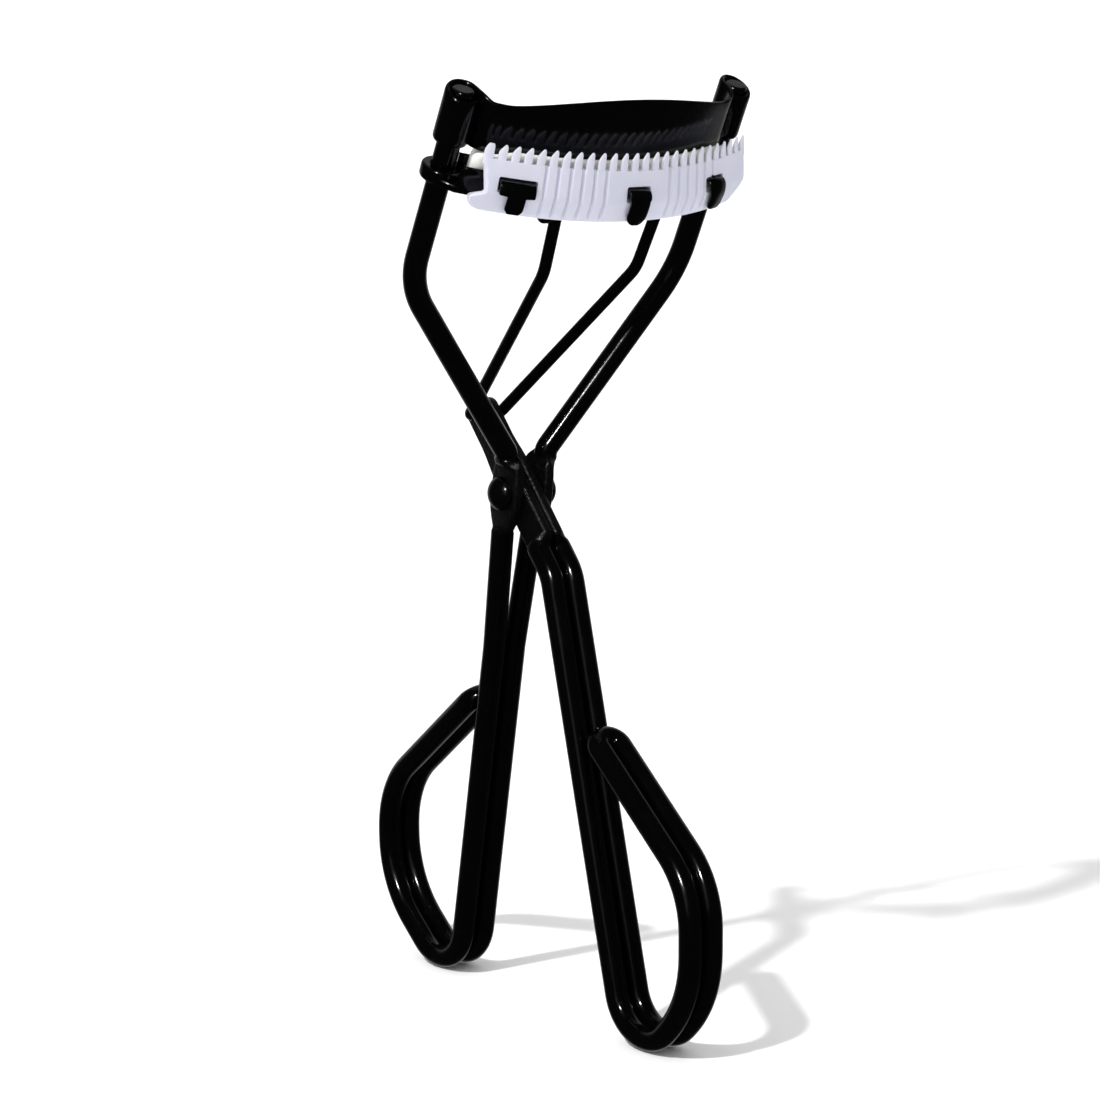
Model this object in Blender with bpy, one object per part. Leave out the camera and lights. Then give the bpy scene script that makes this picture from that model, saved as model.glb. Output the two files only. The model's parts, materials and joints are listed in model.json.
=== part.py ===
"""Eyelash curler with a lash comb: eight separate pieces in metres, +Z up, resting on its loops.

X runs across the jaws, along the pivot rivet. The comb faces -Y. The curler is closed, with its
pad just under the upper plate. Lengths below are in millimetres, and MM turns them into metres.
"""

import math

import bmesh
import bpy
from mathutils import Vector

MM = 0.001

# Pivot: the origin stands midway between the finger loops, on the surface under them.
PIVOT_Y = 3.1
PIVOT_Z = 56.5

# Frame and lever wires.
WIRE_R = 1.25
WIRE_X = 1.36
WIRE_SIDES = 12
LEG_LEAN = math.radians(10.8)
LEG_WAIST_Z = 39.0
FLAT_HALF_THICK = 0.63
FLAT_HALF_WIDE = 2.0
FRAME_FLAT_X = 2.0
FRAME_TOP_X = 2.62
FRAME_STEP_OUT = (2.0, 3.0)
FRAME_FLAT_FOOT = (-4.4, -3.8)
FRAME_FLAT_TOP = (2.2, 3.3)
FRAME_LENS_MIDDLE = -0.5
FRAME_LENS_REACH = 3.6
FRAME_FORK = (61.2, 3.9)
LEVER_FLAT_X = 0.68
TIP_HALF_WIDE = 1.6

# Finger loops: y from the pivot, z, and bend radius at each corner from the foot round to the end.
FAR_LOOP = ((11.05, -2.75, 4.9), (24.35, 7.8, 11.8), (24.35, 19.3, 10.4), (8.45, 31.85, 0.0))
NEAR_LOOP = ((-20.5, -3.25, 4.85), (-30.6, 6.7, 12.4), (-30.6, 19.0, 9.8), (-15.55, 30.95, 0.0))

# Posts: two parallel rods that lean towards the comb.
POST_X = 17.65
POST_LEAN = math.radians(26.15)
POST_FOOT = Vector((POST_X, -4.7, 80.1))
POST_END = 22.3
POST_BEND_R = 9.0

# Rivet.
RIVET_R = 0.9
RIVET_HOLE_R = 0.97
RIVET_HEAD_R = 1.85
RIVET_HEAD_HIGH = 1.0
RIVET_RIM = 0.4
RIVET_GRIP = 2.7

# Lever arm and push wire.
ARM_LEAN = math.radians(41.3)
ARM_HOLE = 10.3
ARM_TIP = 12.2
FLAT_FOOT = 6.4
FLAT_STEP = 1.2
LEVER_WAIST = (-7.07, 48.47)
LINK_R = 0.65
LINK_HOLE_R = 0.73
LINK_EYE_X = 2.08
LINK_BEND = (6.05, -12.14, 81.1)
LINK_TOP_X = 6.6
LINK_END_X = 9.0
LINK_TOP_N = 6.1
LUG_S = 11.25
LUG_N = 5.82
LUG_R = 1.5
LUG_HOLE_R = 1.0
LUG_X = 7.9
LUG_HALF_THICK = 0.4

# Jaws, in post coordinates: x across, s up along the posts, n out from the posts to the comb.
ARC_CENTRE_N = -28.5
PLATE_N = 6.0
PLATE_HALF_THICK = 0.25
PLATE_FOOT = 16.5
PLATE_DIP = 21.95
PLATE_CROWN = 1.85
PLATE_DIP_X = 13.8
PLATE_ARC_X = 13.4
ROLL_TOP = 22.6
ROLL_R = 1.55
ROLL_TURN = math.radians(285.0)
ROLL_DROP = 1.1
FLOOR_FOOT = 12.3
FLOOR_THICK = 0.8
WALL_TOP = 15.3
WALL_THICK = 0.5
PAD_FOOT = 13.2
PAD_TOP = 16.75
PAD_GROOVE_DEEP = 0.4
PAD_GROOVE_HALF_WIDE = 0.6
PAD_N_IN = 4.8
PAD_N_OUT = 7.2
PAD_ANGLE = math.radians(28.0)
EYELET_R = 2.15
EYELET_HOLE_R = 1.33
EYELET_TOP = 13.85
CHANNEL_ANGLE = math.radians(25.5)
FRONT_WING_ANGLE = math.radians(29.4)
REAR_WING_ANGLE = math.radians(28.8)
COMB_N = 9.0
COMB_END = 17.45
COMB_FOOT = 12.0
COMB_FOOT_N = 10.0
COMB_KINK_S = 14.3
COMB_KINK_N = 10.2
COMB_TIP = 18.95
COMB_TIP_N = 8.5
COMB_THICK = 0.75
SLOT_FOOT = 17.35
TOOTH_SHOULDER = 18.2
TOOTH_PITCH = 1.36
SLOT_WIDE = 0.54
SLOTS_EACH_SIDE = 12

# Tabs that hold the comb: (name, place along the comb, stem width, window width).
TABS = (("left", -13.6, 2.0, 4.1), ("middle", 0.0, 2.6, 3.2), ("right", 11.2, 2.4, 3.1))
TAB_BAR_WIDE = 3.85

COLOURS = {
    "black_enamel": ((0.004, 0.004, 0.005), 0.24, 0.0),
    "silicone": ((0.82, 0.82, 0.76), 0.45, 0.0),
    "comb_plastic": ((0.68, 0.68, 0.84), 0.40, 0.0),
}


def clear_scene():
    for obj in list(bpy.data.objects):
        bpy.data.objects.remove(obj, do_unlink=True)


def make_material(name):
    colour, roughness, metallic = COLOURS[name]
    material = bpy.data.materials.new(name)
    material.use_nodes = True
    shader = material.node_tree.nodes["Principled BSDF"]
    shader.inputs["Base Color"].default_value = (*colour, 1.0)
    shader.inputs["Roughness"].default_value = roughness
    shader.inputs["Metallic"].default_value = metallic
    return material


def at_pivot(x, y, z):
    """A point given from the pivot in x and y, and from the standing surface in z."""
    return Vector((x, y + PIVOT_Y, z))


def at_post(x, s, n):
    """A point in post coordinates, where n grows towards the comb."""
    along = Vector((0.0, -math.sin(POST_LEAN), math.cos(POST_LEAN)))
    out = Vector((0.0, -math.cos(POST_LEAN), -math.sin(POST_LEAN)))
    foot = at_pivot(0.0, POST_FOOT.y, POST_FOOT.z)
    return foot + Vector((x, 0.0, 0.0)) + along * s + out * n


def arc_point(angle, radius_n, s):
    """A point on the jaw's arc: radius_n is the arc's n at the middle of the jaw."""
    radius = radius_n - ARC_CENTRE_N
    return at_post(radius * math.sin(angle), s, ARC_CENTRE_N + radius * math.cos(angle))


def arc_angle(along):
    """The angle on the jaw's arc at a distance measured along the comb."""
    return along / (COMB_N - ARC_CENTRE_N)


def add_object(name, mesh, material, origin=None):
    """Puts a mesh given in millimetres into the scene in metres, with its origin where asked."""
    origin = origin or Vector((0.0, 0.0, 0.0))
    for vertex in mesh.vertices:
        vertex.co = (vertex.co - origin) * MM
    obj = bpy.data.objects.new(name, mesh)
    obj.location = origin * MM
    obj.data.materials.append(material)
    bpy.context.scene.collection.objects.link(obj)
    mesh.shade_smooth()
    mesh.set_sharp_from_angle(angle=math.radians(32.0))
    return obj


def mesh_from_rings(name, rings):
    """Joins equal rings of points into one closed skin with flat ends."""
    shape = bmesh.new()
    loops = [[shape.verts.new(point) for point in ring] for ring in rings]
    shape.faces.new(loops[0])
    shape.faces.new(list(reversed(loops[-1])))
    for near, far in zip(loops, loops[1:]):
        for i in range(len(near)):
            j = (i + 1) % len(near)
            shape.faces.new((near[i], far[i], far[j], near[j]))
    bmesh.ops.recalc_face_normals(shape, faces=shape.faces)
    mesh = bpy.data.meshes.new(name)
    shape.to_mesh(mesh)
    shape.free()
    return mesh


def helper(name, mesh):
    """A cutter or a joined block: out of the render, and read only by a Boolean."""
    for vertex in mesh.vertices:
        vertex.co = vertex.co * MM
    obj = bpy.data.objects.new(name, mesh)
    obj.hide_render = True
    obj.display_type = "WIRE"
    bpy.context.scene.collection.objects.link(obj)
    return obj


def combine(obj, other, operation):
    modifier = obj.modifiers.new(f"{operation.lower()}_{other.name}", "BOOLEAN")
    modifier.operation = operation
    modifier.solver = "EXACT"
    modifier.object = other


def rod_along_x(name, y, z, radius, half_long, x=0.0, sides=20):
    """A round bar along X, centred on x."""
    rings = []
    for end in (-half_long, half_long):
        turns = [2.0 * math.pi * i / sides for i in range(sides)]
        ring = [Vector((x + end, y + radius * math.cos(t), z + radius * math.sin(t))) for t in turns]
        rings.append(ring)
    return helper(name, mesh_from_rings(name, rings))


def filleted(corners, step=math.radians(11.0)):
    """A path through (point, radius) corners, with an arc of that radius at each inner corner."""
    path = [corners[0][0]]
    for (before, _), (corner, radius), (after, _) in zip(corners, corners[1:], corners[2:]):
        back = (before - corner).normalized()
        ahead = (after - corner).normalized()
        turn = math.pi - back.angle(ahead)
        if radius == 0.0 or turn < 1e-4:
            path.append(corner)
            continue
        centre = corner + (back + ahead).normalized() * (radius / math.cos(turn / 2.0))
        start = corner + back * (radius * math.tan(turn / 2.0)) - centre
        side = back * -radius
        count = max(2, math.ceil(turn / step))
        for i in range(count + 1):
            angle = turn * i / count
            path.append(centre + start * math.cos(angle) + side * math.sin(angle))
    path.append(corners[-1][0])
    return path


def tangents(path):
    found = []
    for i, point in enumerate(path):
        before = path[max(i - 1, 0)]
        after = path[min(i + 1, len(path) - 1)]
        back = (point - before).normalized() if i > 0 else Vector()
        ahead = (after - point).normalized() if i < len(path) - 1 else Vector()
        found.append((back + ahead).normalized())
    return found


def section(centre, along, across, half_x, half_wide, square, sides):
    """A ring round along. square is 0 for an ellipse and 1 for a rounded oblong."""
    thin = across.cross(along).normalized()
    power = 1.0 - 0.65 * square
    ring = []
    for i in range(sides):
        turn = 2.0 * math.pi * i / sides
        c, s = math.cos(turn), math.sin(turn)
        u = half_x * math.copysign(abs(c) ** power, c)
        v = half_wide * math.copysign(abs(s) ** power, s)
        ring.append(centre + thin * u + across * v)
    return ring


def hairpin_wire(name, half_path, shape_at, sides, turn_steps=6):
    """A wire that runs down half_path at +x, turns back at its end and runs up again at -x."""
    x_axis = Vector((1.0, 0.0, 0.0))
    rings = []
    half_tangents = tangents(half_path)
    for point, along in zip(half_path, half_tangents):
        across = along.cross(x_axis).normalized()
        rings.append(section(point, along, across, *shape_at(point), sides))
    end, along = half_path[-1], half_tangents[-1]
    across = along.cross(x_axis).normalized()
    for i in range(1, turn_steps):
        angle = math.pi * i / turn_steps
        centre = Vector((0.0, end.y, end.z)) + x_axis * (end.x * math.cos(angle))
        centre += along * (end.x * math.sin(angle))
        heading = along * math.cos(angle) - x_axis * math.sin(angle)
        rings.append(section(centre, heading, across, *shape_at(centre), sides))
    for point, along in reversed(list(zip(half_path, half_tangents))):
        mirrored = Vector((-point.x, point.y, point.z))
        back = Vector((along.x, -along.y, -along.z))
        across = -back.cross(x_axis).normalized()
        rings.append(section(mirrored, back, across, *shape_at(mirrored), sides))
    return mesh_from_rings(name, rings)


def blend(value, low, high):
    """0 below low, 1 above high, and an even slope between."""
    return min(1.0, max(0.0, (value - low) / (high - low)))


def frame_section(point):
    """Round wire, pressed flat where it passes the rivet and widest there."""
    height = point.z - PIVOT_Z
    flat = min(blend(height, *FRAME_FLAT_FOOT), 1.0 - blend(height, *FRAME_FLAT_TOP))
    lens = max(0.0, 1.0 - ((height - FRAME_LENS_MIDDLE) / FRAME_LENS_REACH) ** 2)
    half_x = WIRE_R + (FLAT_HALF_THICK - WIRE_R) * flat
    half_wide = WIRE_R + (FLAT_HALF_WIDE - WIRE_R) * lens
    return half_x, half_wide, flat


def make_frame_wire(material):
    def leg(x, z):
        return at_pivot(x, (PIVOT_Z - z) * math.tan(LEG_LEAN), z)

    fork_z, fork_r = FRAME_FORK
    corners = [
        (at_post(POST_X, POST_END, 0.0), 0.0),
        (at_pivot(*POST_FOOT), POST_BEND_R),
        (leg(FRAME_TOP_X, fork_z), fork_r),
    ]
    for height in (3.3, 3.0, 2.6, 2.2, 2.0, 0.8, -0.5, -2.2, -3.8, -4.4):
        step_out = blend(height, *FRAME_STEP_OUT)
        x = FRAME_FLAT_X + (FRAME_TOP_X - FRAME_FLAT_X) * step_out
        corners.append((leg(x, PIVOT_Z + height), 0.0))
    corners.append((leg(WIRE_X, LEG_WAIST_Z), 0.0))
    corners += [(at_pivot(WIRE_X, y, z), radius) for y, z, radius in FAR_LOOP]
    mesh = hairpin_wire("frame_wire", filleted(corners), frame_section, WIRE_SIDES)
    obj = add_object("frame_wire", mesh, material)
    hole = rod_along_x("frame_rivet_hole", PIVOT_Y, PIVOT_Z, RIVET_HOLE_R, 4.0)
    combine(obj, hole, "DIFFERENCE")
    return obj


def on_arm(x, distance):
    """A point on the lever's upper arm, or below the pivot where distance is negative."""
    up = distance * math.cos(ARM_LEAN)
    return at_pivot(x, distance * math.sin(ARM_LEAN), PIVOT_Z + up)


def lever_section(point):
    """Flat from the tip to below the rivet, then round. The tip is rounded in its plane."""
    rel = point - at_pivot(0.0, 0.0, PIVOT_Z)
    distance = rel.y * math.sin(ARM_LEAN) + rel.z * math.cos(ARM_LEAN)
    flat = blend(distance, -FLAT_FOOT - FLAT_STEP, -FLAT_FOOT)
    half_wide = WIRE_R + (FLAT_HALF_WIDE - WIRE_R) * flat
    if distance > 3.0:
        half_wide += (TIP_HALF_WIDE - FLAT_HALF_WIDE) * blend(distance, 3.0, 7.0)
    from_end = ARM_TIP - distance
    if 0.0 <= from_end < TIP_HALF_WIDE:
        inside = TIP_HALF_WIDE - from_end
        half_wide = max(0.45, math.sqrt(TIP_HALF_WIDE**2 - inside**2))
    half_x = WIRE_R + (FLAT_HALF_THICK - WIRE_R) * flat
    return half_x, half_wide, flat


def make_lever_wire(material):
    corners = [
        (on_arm(LEVER_FLAT_X, ARM_TIP), 0.0),
        (on_arm(LEVER_FLAT_X, ARM_TIP - 0.25), 0.0),
        (on_arm(LEVER_FLAT_X, ARM_TIP - 0.7), 0.0),
        (on_arm(LEVER_FLAT_X, ARM_TIP - TIP_HALF_WIDE), 0.0),
        (on_arm(LEVER_FLAT_X, 7.0), 0.0),
        (on_arm(LEVER_FLAT_X, 3.0), 0.0),
        (on_arm(LEVER_FLAT_X, -FLAT_FOOT), 0.0),
        (on_arm(WIRE_X, -FLAT_FOOT - FLAT_STEP), 0.0),
        (at_pivot(WIRE_X, *LEVER_WAIST), 5.0),
    ]
    corners += [(at_pivot(WIRE_X, y, z), radius) for y, z, radius in NEAR_LOOP]
    mesh = hairpin_wire("lever_wire", filleted(corners), lever_section, WIRE_SIDES)
    pivot = at_pivot(0.0, 0.0, PIVOT_Z)
    obj = add_object("lever_wire", mesh, material, pivot)
    combine(obj, rod_along_x("lever_rivet_hole", PIVOT_Y, PIVOT_Z, RIVET_HOLE_R, 3.0), "DIFFERENCE")
    eye = on_arm(0.0, ARM_HOLE)
    combine(obj, rod_along_x("lever_link_hole", eye.y, eye.z, LINK_HOLE_R, 3.0), "DIFFERENCE")
    return obj


def make_pivot_rivet(material, sides=20, dome_steps=4):
    profile = []
    dome_r = (RIVET_HEAD_R**2 + RIVET_HEAD_HIGH**2) / (2.0 * RIVET_HEAD_HIGH)
    full = math.asin(RIVET_HEAD_R / dome_r)
    for i in range(dome_steps):
        angle = full * (i + 0.5) / (dome_steps - 0.5)
        out = RIVET_GRIP + RIVET_RIM + RIVET_HEAD_HIGH - dome_r * (1.0 - math.cos(angle))
        profile.append((out, dome_r * math.sin(angle)))
    profile[-1] = (RIVET_GRIP + RIVET_RIM, RIVET_HEAD_R)
    profile.append((RIVET_GRIP + 0.1, RIVET_HEAD_R))
    profile.append((RIVET_GRIP, RIVET_HEAD_R - 0.1))
    profile.append((RIVET_GRIP, RIVET_R))
    profile += [(-x, r) for x, r in reversed(profile)]
    rings = []
    for x, radius in profile:
        turns = [2.0 * math.pi * i / sides for i in range(sides)]
        rings.append([at_pivot(x, radius * math.cos(t), PIVOT_Z + radius * math.sin(t)) for t in turns])
    return add_object("pivot_rivet", mesh_from_rings("pivot_rivet", rings), material)


def make_push_wire(material):
    eye = on_arm(0.0, ARM_HOLE)
    lug = at_post(0.0, LUG_S, LINK_TOP_N)
    half = [
        (Vector((0.0, eye.y, eye.z)), 0.0),
        (Vector((LINK_EYE_X, eye.y, eye.z)), 0.8),
        (at_pivot(*LINK_BEND), 5.0),
        (Vector((LINK_TOP_X, lug.y, lug.z)), 0.8),
        (Vector((LINK_END_X, lug.y, lug.z)), 0.0),
    ]
    right = filleted(half, math.radians(18.0))
    left = [Vector((-point.x, point.y, point.z)) for point in reversed(right[1:])]
    path = left + right
    rings = []
    normal = None
    for point, along in zip(path, tangents(path)):
        if normal is None:
            normal = along.orthogonal().normalized()
        normal = (normal - along * normal.dot(along)).normalized()
        rings.append(section(point, along, normal, LINK_R, LINK_R, 0.0, 10))
    mesh = mesh_from_rings("push_wire", rings)
    return add_object("push_wire", mesh, material, Vector((0.0, eye.y, eye.z)))


def plate_crown(x):
    """The height of the upper jaw's top edge along its arc."""
    return PLATE_DIP + PLATE_CROWN * max(0.0, 1.0 - (x / PLATE_DIP_X) ** 2) ** 1.3


def plate_line():
    """The sheet's middle line from the centre to one roll's end, as (point in x and n, top height)."""
    radius = PLATE_N - ARC_CENTRE_N
    edge = math.asin(PLATE_ARC_X / radius)
    line = []
    for i in range(11):
        angle = edge * i / 11
        x = radius * math.sin(angle)
        line.append((Vector((x, ARC_CENTRE_N + radius * math.cos(angle))), plate_crown(x)))
    start = Vector((PLATE_ARC_X, ARC_CENTRE_N + radius * math.cos(edge)))
    heading = Vector((math.cos(edge), -math.sin(edge)))
    finish = Vector((POST_X - ROLL_R, 0.0))
    first, last = start + heading * 1.6, finish + Vector((0.0, 2.3))
    for i in range(7):
        t = i / 7
        u = 1.0 - t
        bezier = start * u**3 + first * (3 * u * u * t) + last * (3 * u * t * t) + finish * t**3
        line.append((bezier, PLATE_DIP + (ROLL_TOP - PLATE_DIP) * t))
    for i in range(18):
        t = i / 17
        angle = math.pi + ROLL_TURN * t
        around = Vector((POST_X + ROLL_R * math.cos(angle), ROLL_R * math.sin(angle)))
        line.append((around, ROLL_TOP - ROLL_DROP * blend(t, 0.35, 1.0)))
    return line


def make_upper_jaw_plate(material):
    """One sheet: an arc, an S-bend at each end and a roll round each post."""
    half = plate_line()
    line = [(Vector((-point.x, point.y)), top) for point, top in reversed(half[1:])] + half
    rings = []
    for i, (point, top) in enumerate(line):
        before = line[max(i - 1, 0)][0]
        after = line[min(i + 1, len(line) - 1)][0]
        ahead = (after - before).normalized()
        side = Vector((-ahead.y, ahead.x)) * PLATE_HALF_THICK
        inner, outer = point - side, point + side
        ring = [at_post(outer.x, PLATE_FOOT, outer.y), at_post(outer.x, top, outer.y)]
        ring += [at_post(inner.x, top, inner.y), at_post(inner.x, PLATE_FOOT, inner.y)]
        rings.append(ring)
    return add_object("upper_jaw_plate", mesh_from_rings("upper_jaw_plate", rings), material)


def arc_strip(name, profile, angles):
    """Sweeps a closed (s, n) profile along the jaw's arc."""
    rings = [[arc_point(angle, n, s) for s, n in profile] for angle in angles]
    return mesh_from_rings(name, rings)


def even_angles(limit, count):
    return [limit * (2.0 * i / count - 1.0) for i in range(count + 1)]


def prism_on_arc(name, along, outline, width):
    """Extrudes an (s, n) outline, with n as at mid-jaw, by width about a place on the comb's arc."""
    angle = arc_angle(along)
    rings = []
    for offset in (-width / 2.0, width / 2.0):
        ring = []
        for s, n in outline:
            radius = n - ARC_CENTRE_N
            across = radius * math.sin(angle) + offset * math.cos(angle)
            out = ARC_CENTRE_N + radius * math.cos(angle) - offset * math.sin(angle)
            ring.append(at_post(across, s, out))
        rings.append(ring)
    return mesh_from_rings(name, rings)


def slab_on_posts(name, outline, foot, top):
    """Extrudes an (x, n) outline along the posts from foot to top."""
    rings = [[at_post(x, s, n) for x, n in outline] for s in (foot, top)]
    return mesh_from_rings(name, rings)


def round_outline(x, n, radius, sides=24):
    turns = [2.0 * math.pi * (i + 0.5) / sides for i in range(sides)]
    return [(x + radius * math.cos(t), n + radius * math.sin(t)) for t in turns]


def tab_outline():
    """The side view of a tab: out through a window of the comb, then down over its front."""
    wall = PAD_N_OUT + 0.15
    outer = [(WALL_TOP, wall), (WALL_TOP + 0.05, 9.9), (WALL_TOP - 0.3, 10.3), (14.4, 10.78)]
    lower = [(12.55, 10.65), (12.2, 10.48), (12.35, 10.18)]
    inner = [(14.28, 10.3), (14.75, 10.0), (14.75, wall)]
    return outer + lower + inner


def make_lower_jaw_channel(material):
    wall_in = PAD_N_OUT + 0.1
    wall_out = wall_in + WALL_THICK
    rear_out = PAD_N_IN - 0.1
    rear_in = rear_out - WALL_THICK
    floor_top = FLOOR_FOOT + FLOOR_THICK
    profile = [
        (FLOOR_FOOT, rear_in),
        (FLOOR_FOOT, wall_out),
        (WALL_TOP, wall_out),
        (WALL_TOP, wall_in),
        (floor_top, wall_in),
        (floor_top, rear_out),
        (WALL_TOP, rear_out),
        (WALL_TOP, rear_in),
    ]
    channel = arc_strip("lower_jaw_channel", profile, even_angles(CHANNEL_ANGLE, 20))
    obj = add_object("lower_jaw_channel", channel, material)
    for side, word in ((-1.0, "left"), (1.0, "right")):
        collar = round_outline(side * POST_X, 0.0, EYELET_R)
        eyelet = slab_on_posts("eyelet", collar, FLOOR_FOOT, EYELET_TOP)
        combine(obj, helper(f"{word}_eyelet", eyelet), "UNION")
        bridge_out = [(side * 14.6, 0.9), (side * 17.4, -2.0), (side * 19.6, 0.9), (side * 17.2, 2.95)]
        bridge_out += [(side * 16.0, 4.1), (side * 14.6, 4.7)]
        bridge = slab_on_posts("bridge", bridge_out, FLOOR_FOOT + 0.001, floor_top - 0.001)
        combine(obj, helper(f"{word}_bridge", bridge), "UNION")
        front_wing = wing_mesh(side, wall_in, wall_out, FRONT_WING_ANGLE)
        combine(obj, helper(f"{word}_front_wing", front_wing), "UNION")
        rear_wing = wing_mesh(side, rear_in + 0.001, rear_out, REAR_WING_ANGLE)
        combine(obj, helper(f"{word}_rear_wing", rear_wing), "UNION")
        lug = lug_mesh(side)
        combine(obj, helper(f"{word}_lug", lug), "UNION")
        hole = slab_on_posts("hole", round_outline(side * POST_X, 0.0, EYELET_HOLE_R), 11.0, 14.5)
        combine(obj, helper(f"{word}_post_hole", hole), "DIFFERENCE")
    lug_eye = at_post(0.0, LUG_S, LUG_N)
    lug_holes = rod_along_x("lug_holes", lug_eye.y, lug_eye.z, LUG_HOLE_R, LINK_END_X, sides=16)
    combine(obj, lug_holes, "DIFFERENCE")
    for word, along, stem_wide, _ in TABS:
        tab = prism_on_arc("tab", along, tab_outline(), stem_wide)
        combine(obj, helper(f"{word}_tab", tab), "UNION")
    bar_outline = [(14.3, 10.31), (15.2, 9.95), (15.2, 10.3), (14.3, 10.79)]
    bar = prism_on_arc("bar", TABS[0][1], bar_outline, TAB_BAR_WIDE)
    combine(obj, helper("left_tab_bar", bar), "UNION")
    return obj


def wing_mesh(side, wall_in, wall_out, end_angle):
    """A wall past the channel's end: it keeps its height, then drops to the eyelet's level."""
    rings = []
    start_angle = CHANNEL_ANGLE - math.radians(1.5)
    for i in range(8):
        t = i / 7
        angle = side * (start_angle + (end_angle - start_angle) * t)
        top = WALL_TOP + (EYELET_TOP - WALL_TOP) * blend(t, 0.8, 1.0)
        rings.append([
            arc_point(angle, wall_in, FLOOR_FOOT + 0.002),
            arc_point(angle, wall_out - 0.001, FLOOR_FOOT + 0.002),
            arc_point(angle, wall_out - 0.001, top + 0.003),
            arc_point(angle, wall_in, top + 0.003),
        ])
    return mesh_from_rings("wing", rings)


def lug_mesh(side):
    """An ear under the floor, with a round end about the push wire's eye."""
    outline = [(FLOOR_FOOT + 0.4, LUG_N - LUG_R), (FLOOR_FOOT + 0.4, LUG_N + 0.6)]
    outline += [(FLOOR_FOOT - 0.1, LUG_N + 1.1)]
    for i in range(9):
        turn = math.pi / 6.0 - (math.pi + math.pi / 6.0) * i / 8
        outline.append((LUG_S + LUG_R * math.sin(turn), LUG_N + LUG_R * math.cos(turn)))
    rings = []
    for x in (side * LUG_X - LUG_HALF_THICK, side * LUG_X + LUG_HALF_THICK):
        rings.append([at_post(x, s, n) for s, n in outline])
    return mesh_from_rings("lug", rings)


def make_silicone_pad(material):
    """A bar on the jaw's arc with full round ends, and a groove where the upper plate's edge closes."""
    middle = (PAD_N_IN + PAD_N_OUT) / 2.0
    half = (PAD_N_OUT - PAD_N_IN) / 2.0
    outline = [
        (PAD_FOOT, -half + 0.3),
        (PAD_FOOT, half - 0.3),
        (PAD_FOOT + 0.3, half),
        (PAD_TOP - 0.7, half),
        (PAD_TOP - 0.2, half - 0.1),
        (PAD_TOP, half - 0.35),
        (PAD_TOP - PAD_GROOVE_DEEP, PAD_GROOVE_HALF_WIDE),
        (PAD_TOP - PAD_GROOVE_DEEP, -PAD_GROOVE_HALF_WIDE),
        (PAD_TOP, -half + 0.35),
        (PAD_TOP - 0.2, -half + 0.1),
        (PAD_TOP - 0.7, -half),
        (PAD_FOOT + 0.3, -half),
    ]
    radius = middle - ARC_CENTRE_N
    stations = [(angle, 1.0, 1.0) for angle in even_angles(PAD_ANGLE - 0.6 / radius, 18)]
    for distance, narrow, low in ((0.42, 0.82, 0.94), (0.6, 0.5, 0.86)):
        angle = PAD_ANGLE - 0.6 / radius + distance / radius
        stations.insert(0, (-angle, narrow, low))
        stations.append((angle, narrow, low))
    centre_s = (PAD_FOOT + PAD_TOP) / 2.0
    rings = []
    for angle, narrow, low in stations:
        ring = [arc_point(angle, middle + n * narrow, centre_s + (s - centre_s) * low) for s, n in outline]
        rings.append(ring)
    return add_object("silicone_pad", mesh_from_rings("silicone_pad", rings), material)


def comb_outer(s):
    """How far out the comb's front is at height s: it slopes out to the kink, then back in."""
    if s >= COMB_KINK_S:
        return COMB_KINK_N - (s - COMB_KINK_S) * (COMB_KINK_N - COMB_TIP_N) / (COMB_TIP - COMB_KINK_S)
    return COMB_KINK_N - (COMB_KINK_S - s) * (COMB_KINK_N - COMB_FOOT_N) / (COMB_KINK_S - COMB_FOOT)


def comb_ring(along, top):
    """The comb's section at a place on its arc: a thin toothed band above, a stepped skirt below."""
    inner = PAD_N_OUT + 0.25
    clear = PAD_N_OUT + 0.1 + WALL_THICK + 0.12
    angle = arc_angle(along)
    low_top = min(top, 16.0)
    outline = [
        (COMB_FOOT, comb_outer(COMB_FOOT) - 0.9),
        (COMB_FOOT, comb_outer(COMB_FOOT)),
        (COMB_KINK_S, comb_outer(COMB_KINK_S)),
        (low_top, comb_outer(low_top)),
        (top, comb_outer(top)),
        (top, max(inner, comb_outer(top) - COMB_THICK)),
        (low_top, inner),
        (WALL_TOP + 0.25, inner),
        (WALL_TOP + 0.05, clear),
        (COMB_KINK_S, clear + 0.55),
    ]
    return [arc_point(angle, n, s) for s, n in outline]


def comb_stations():
    """(along, top) pairs from end to end: a square slot, a leaning tooth, and so on."""
    half_slot = SLOT_WIDE / 2.0
    stations = [(-COMB_END, TOOTH_SHOULDER)]
    for k in range(-SLOTS_EACH_SIDE, SLOTS_EACH_SIDE + 1):
        slot = TOOTH_PITCH * k
        stations += [(slot - half_slot - 0.12, COMB_TIP), (slot - half_slot - 0.02, TOOTH_SHOULDER)]
        stations += [(slot - half_slot, SLOT_FOOT), (slot + half_slot, SLOT_FOOT)]
        stations += [(slot + half_slot + 0.03, TOOTH_SHOULDER)]
    return stations + [(COMB_END - 0.12, COMB_TIP), (COMB_END, TOOTH_SHOULDER)]


def make_lash_comb(material):
    rings = [comb_ring(along, top) for along, top in comb_stations()]
    obj = add_object("lash_comb", mesh_from_rings("lash_comb", rings), material)
    outline = [(14.2, 7.0), (WALL_TOP + 0.25, 7.0), (WALL_TOP + 0.25, 11.5), (14.2, 11.5)]
    for word, along, _, window_wide in TABS:
        window = prism_on_arc("window", along, outline, window_wide)
        combine(obj, helper(f"{word}_window", window), "DIFFERENCE")
    return obj


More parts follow.
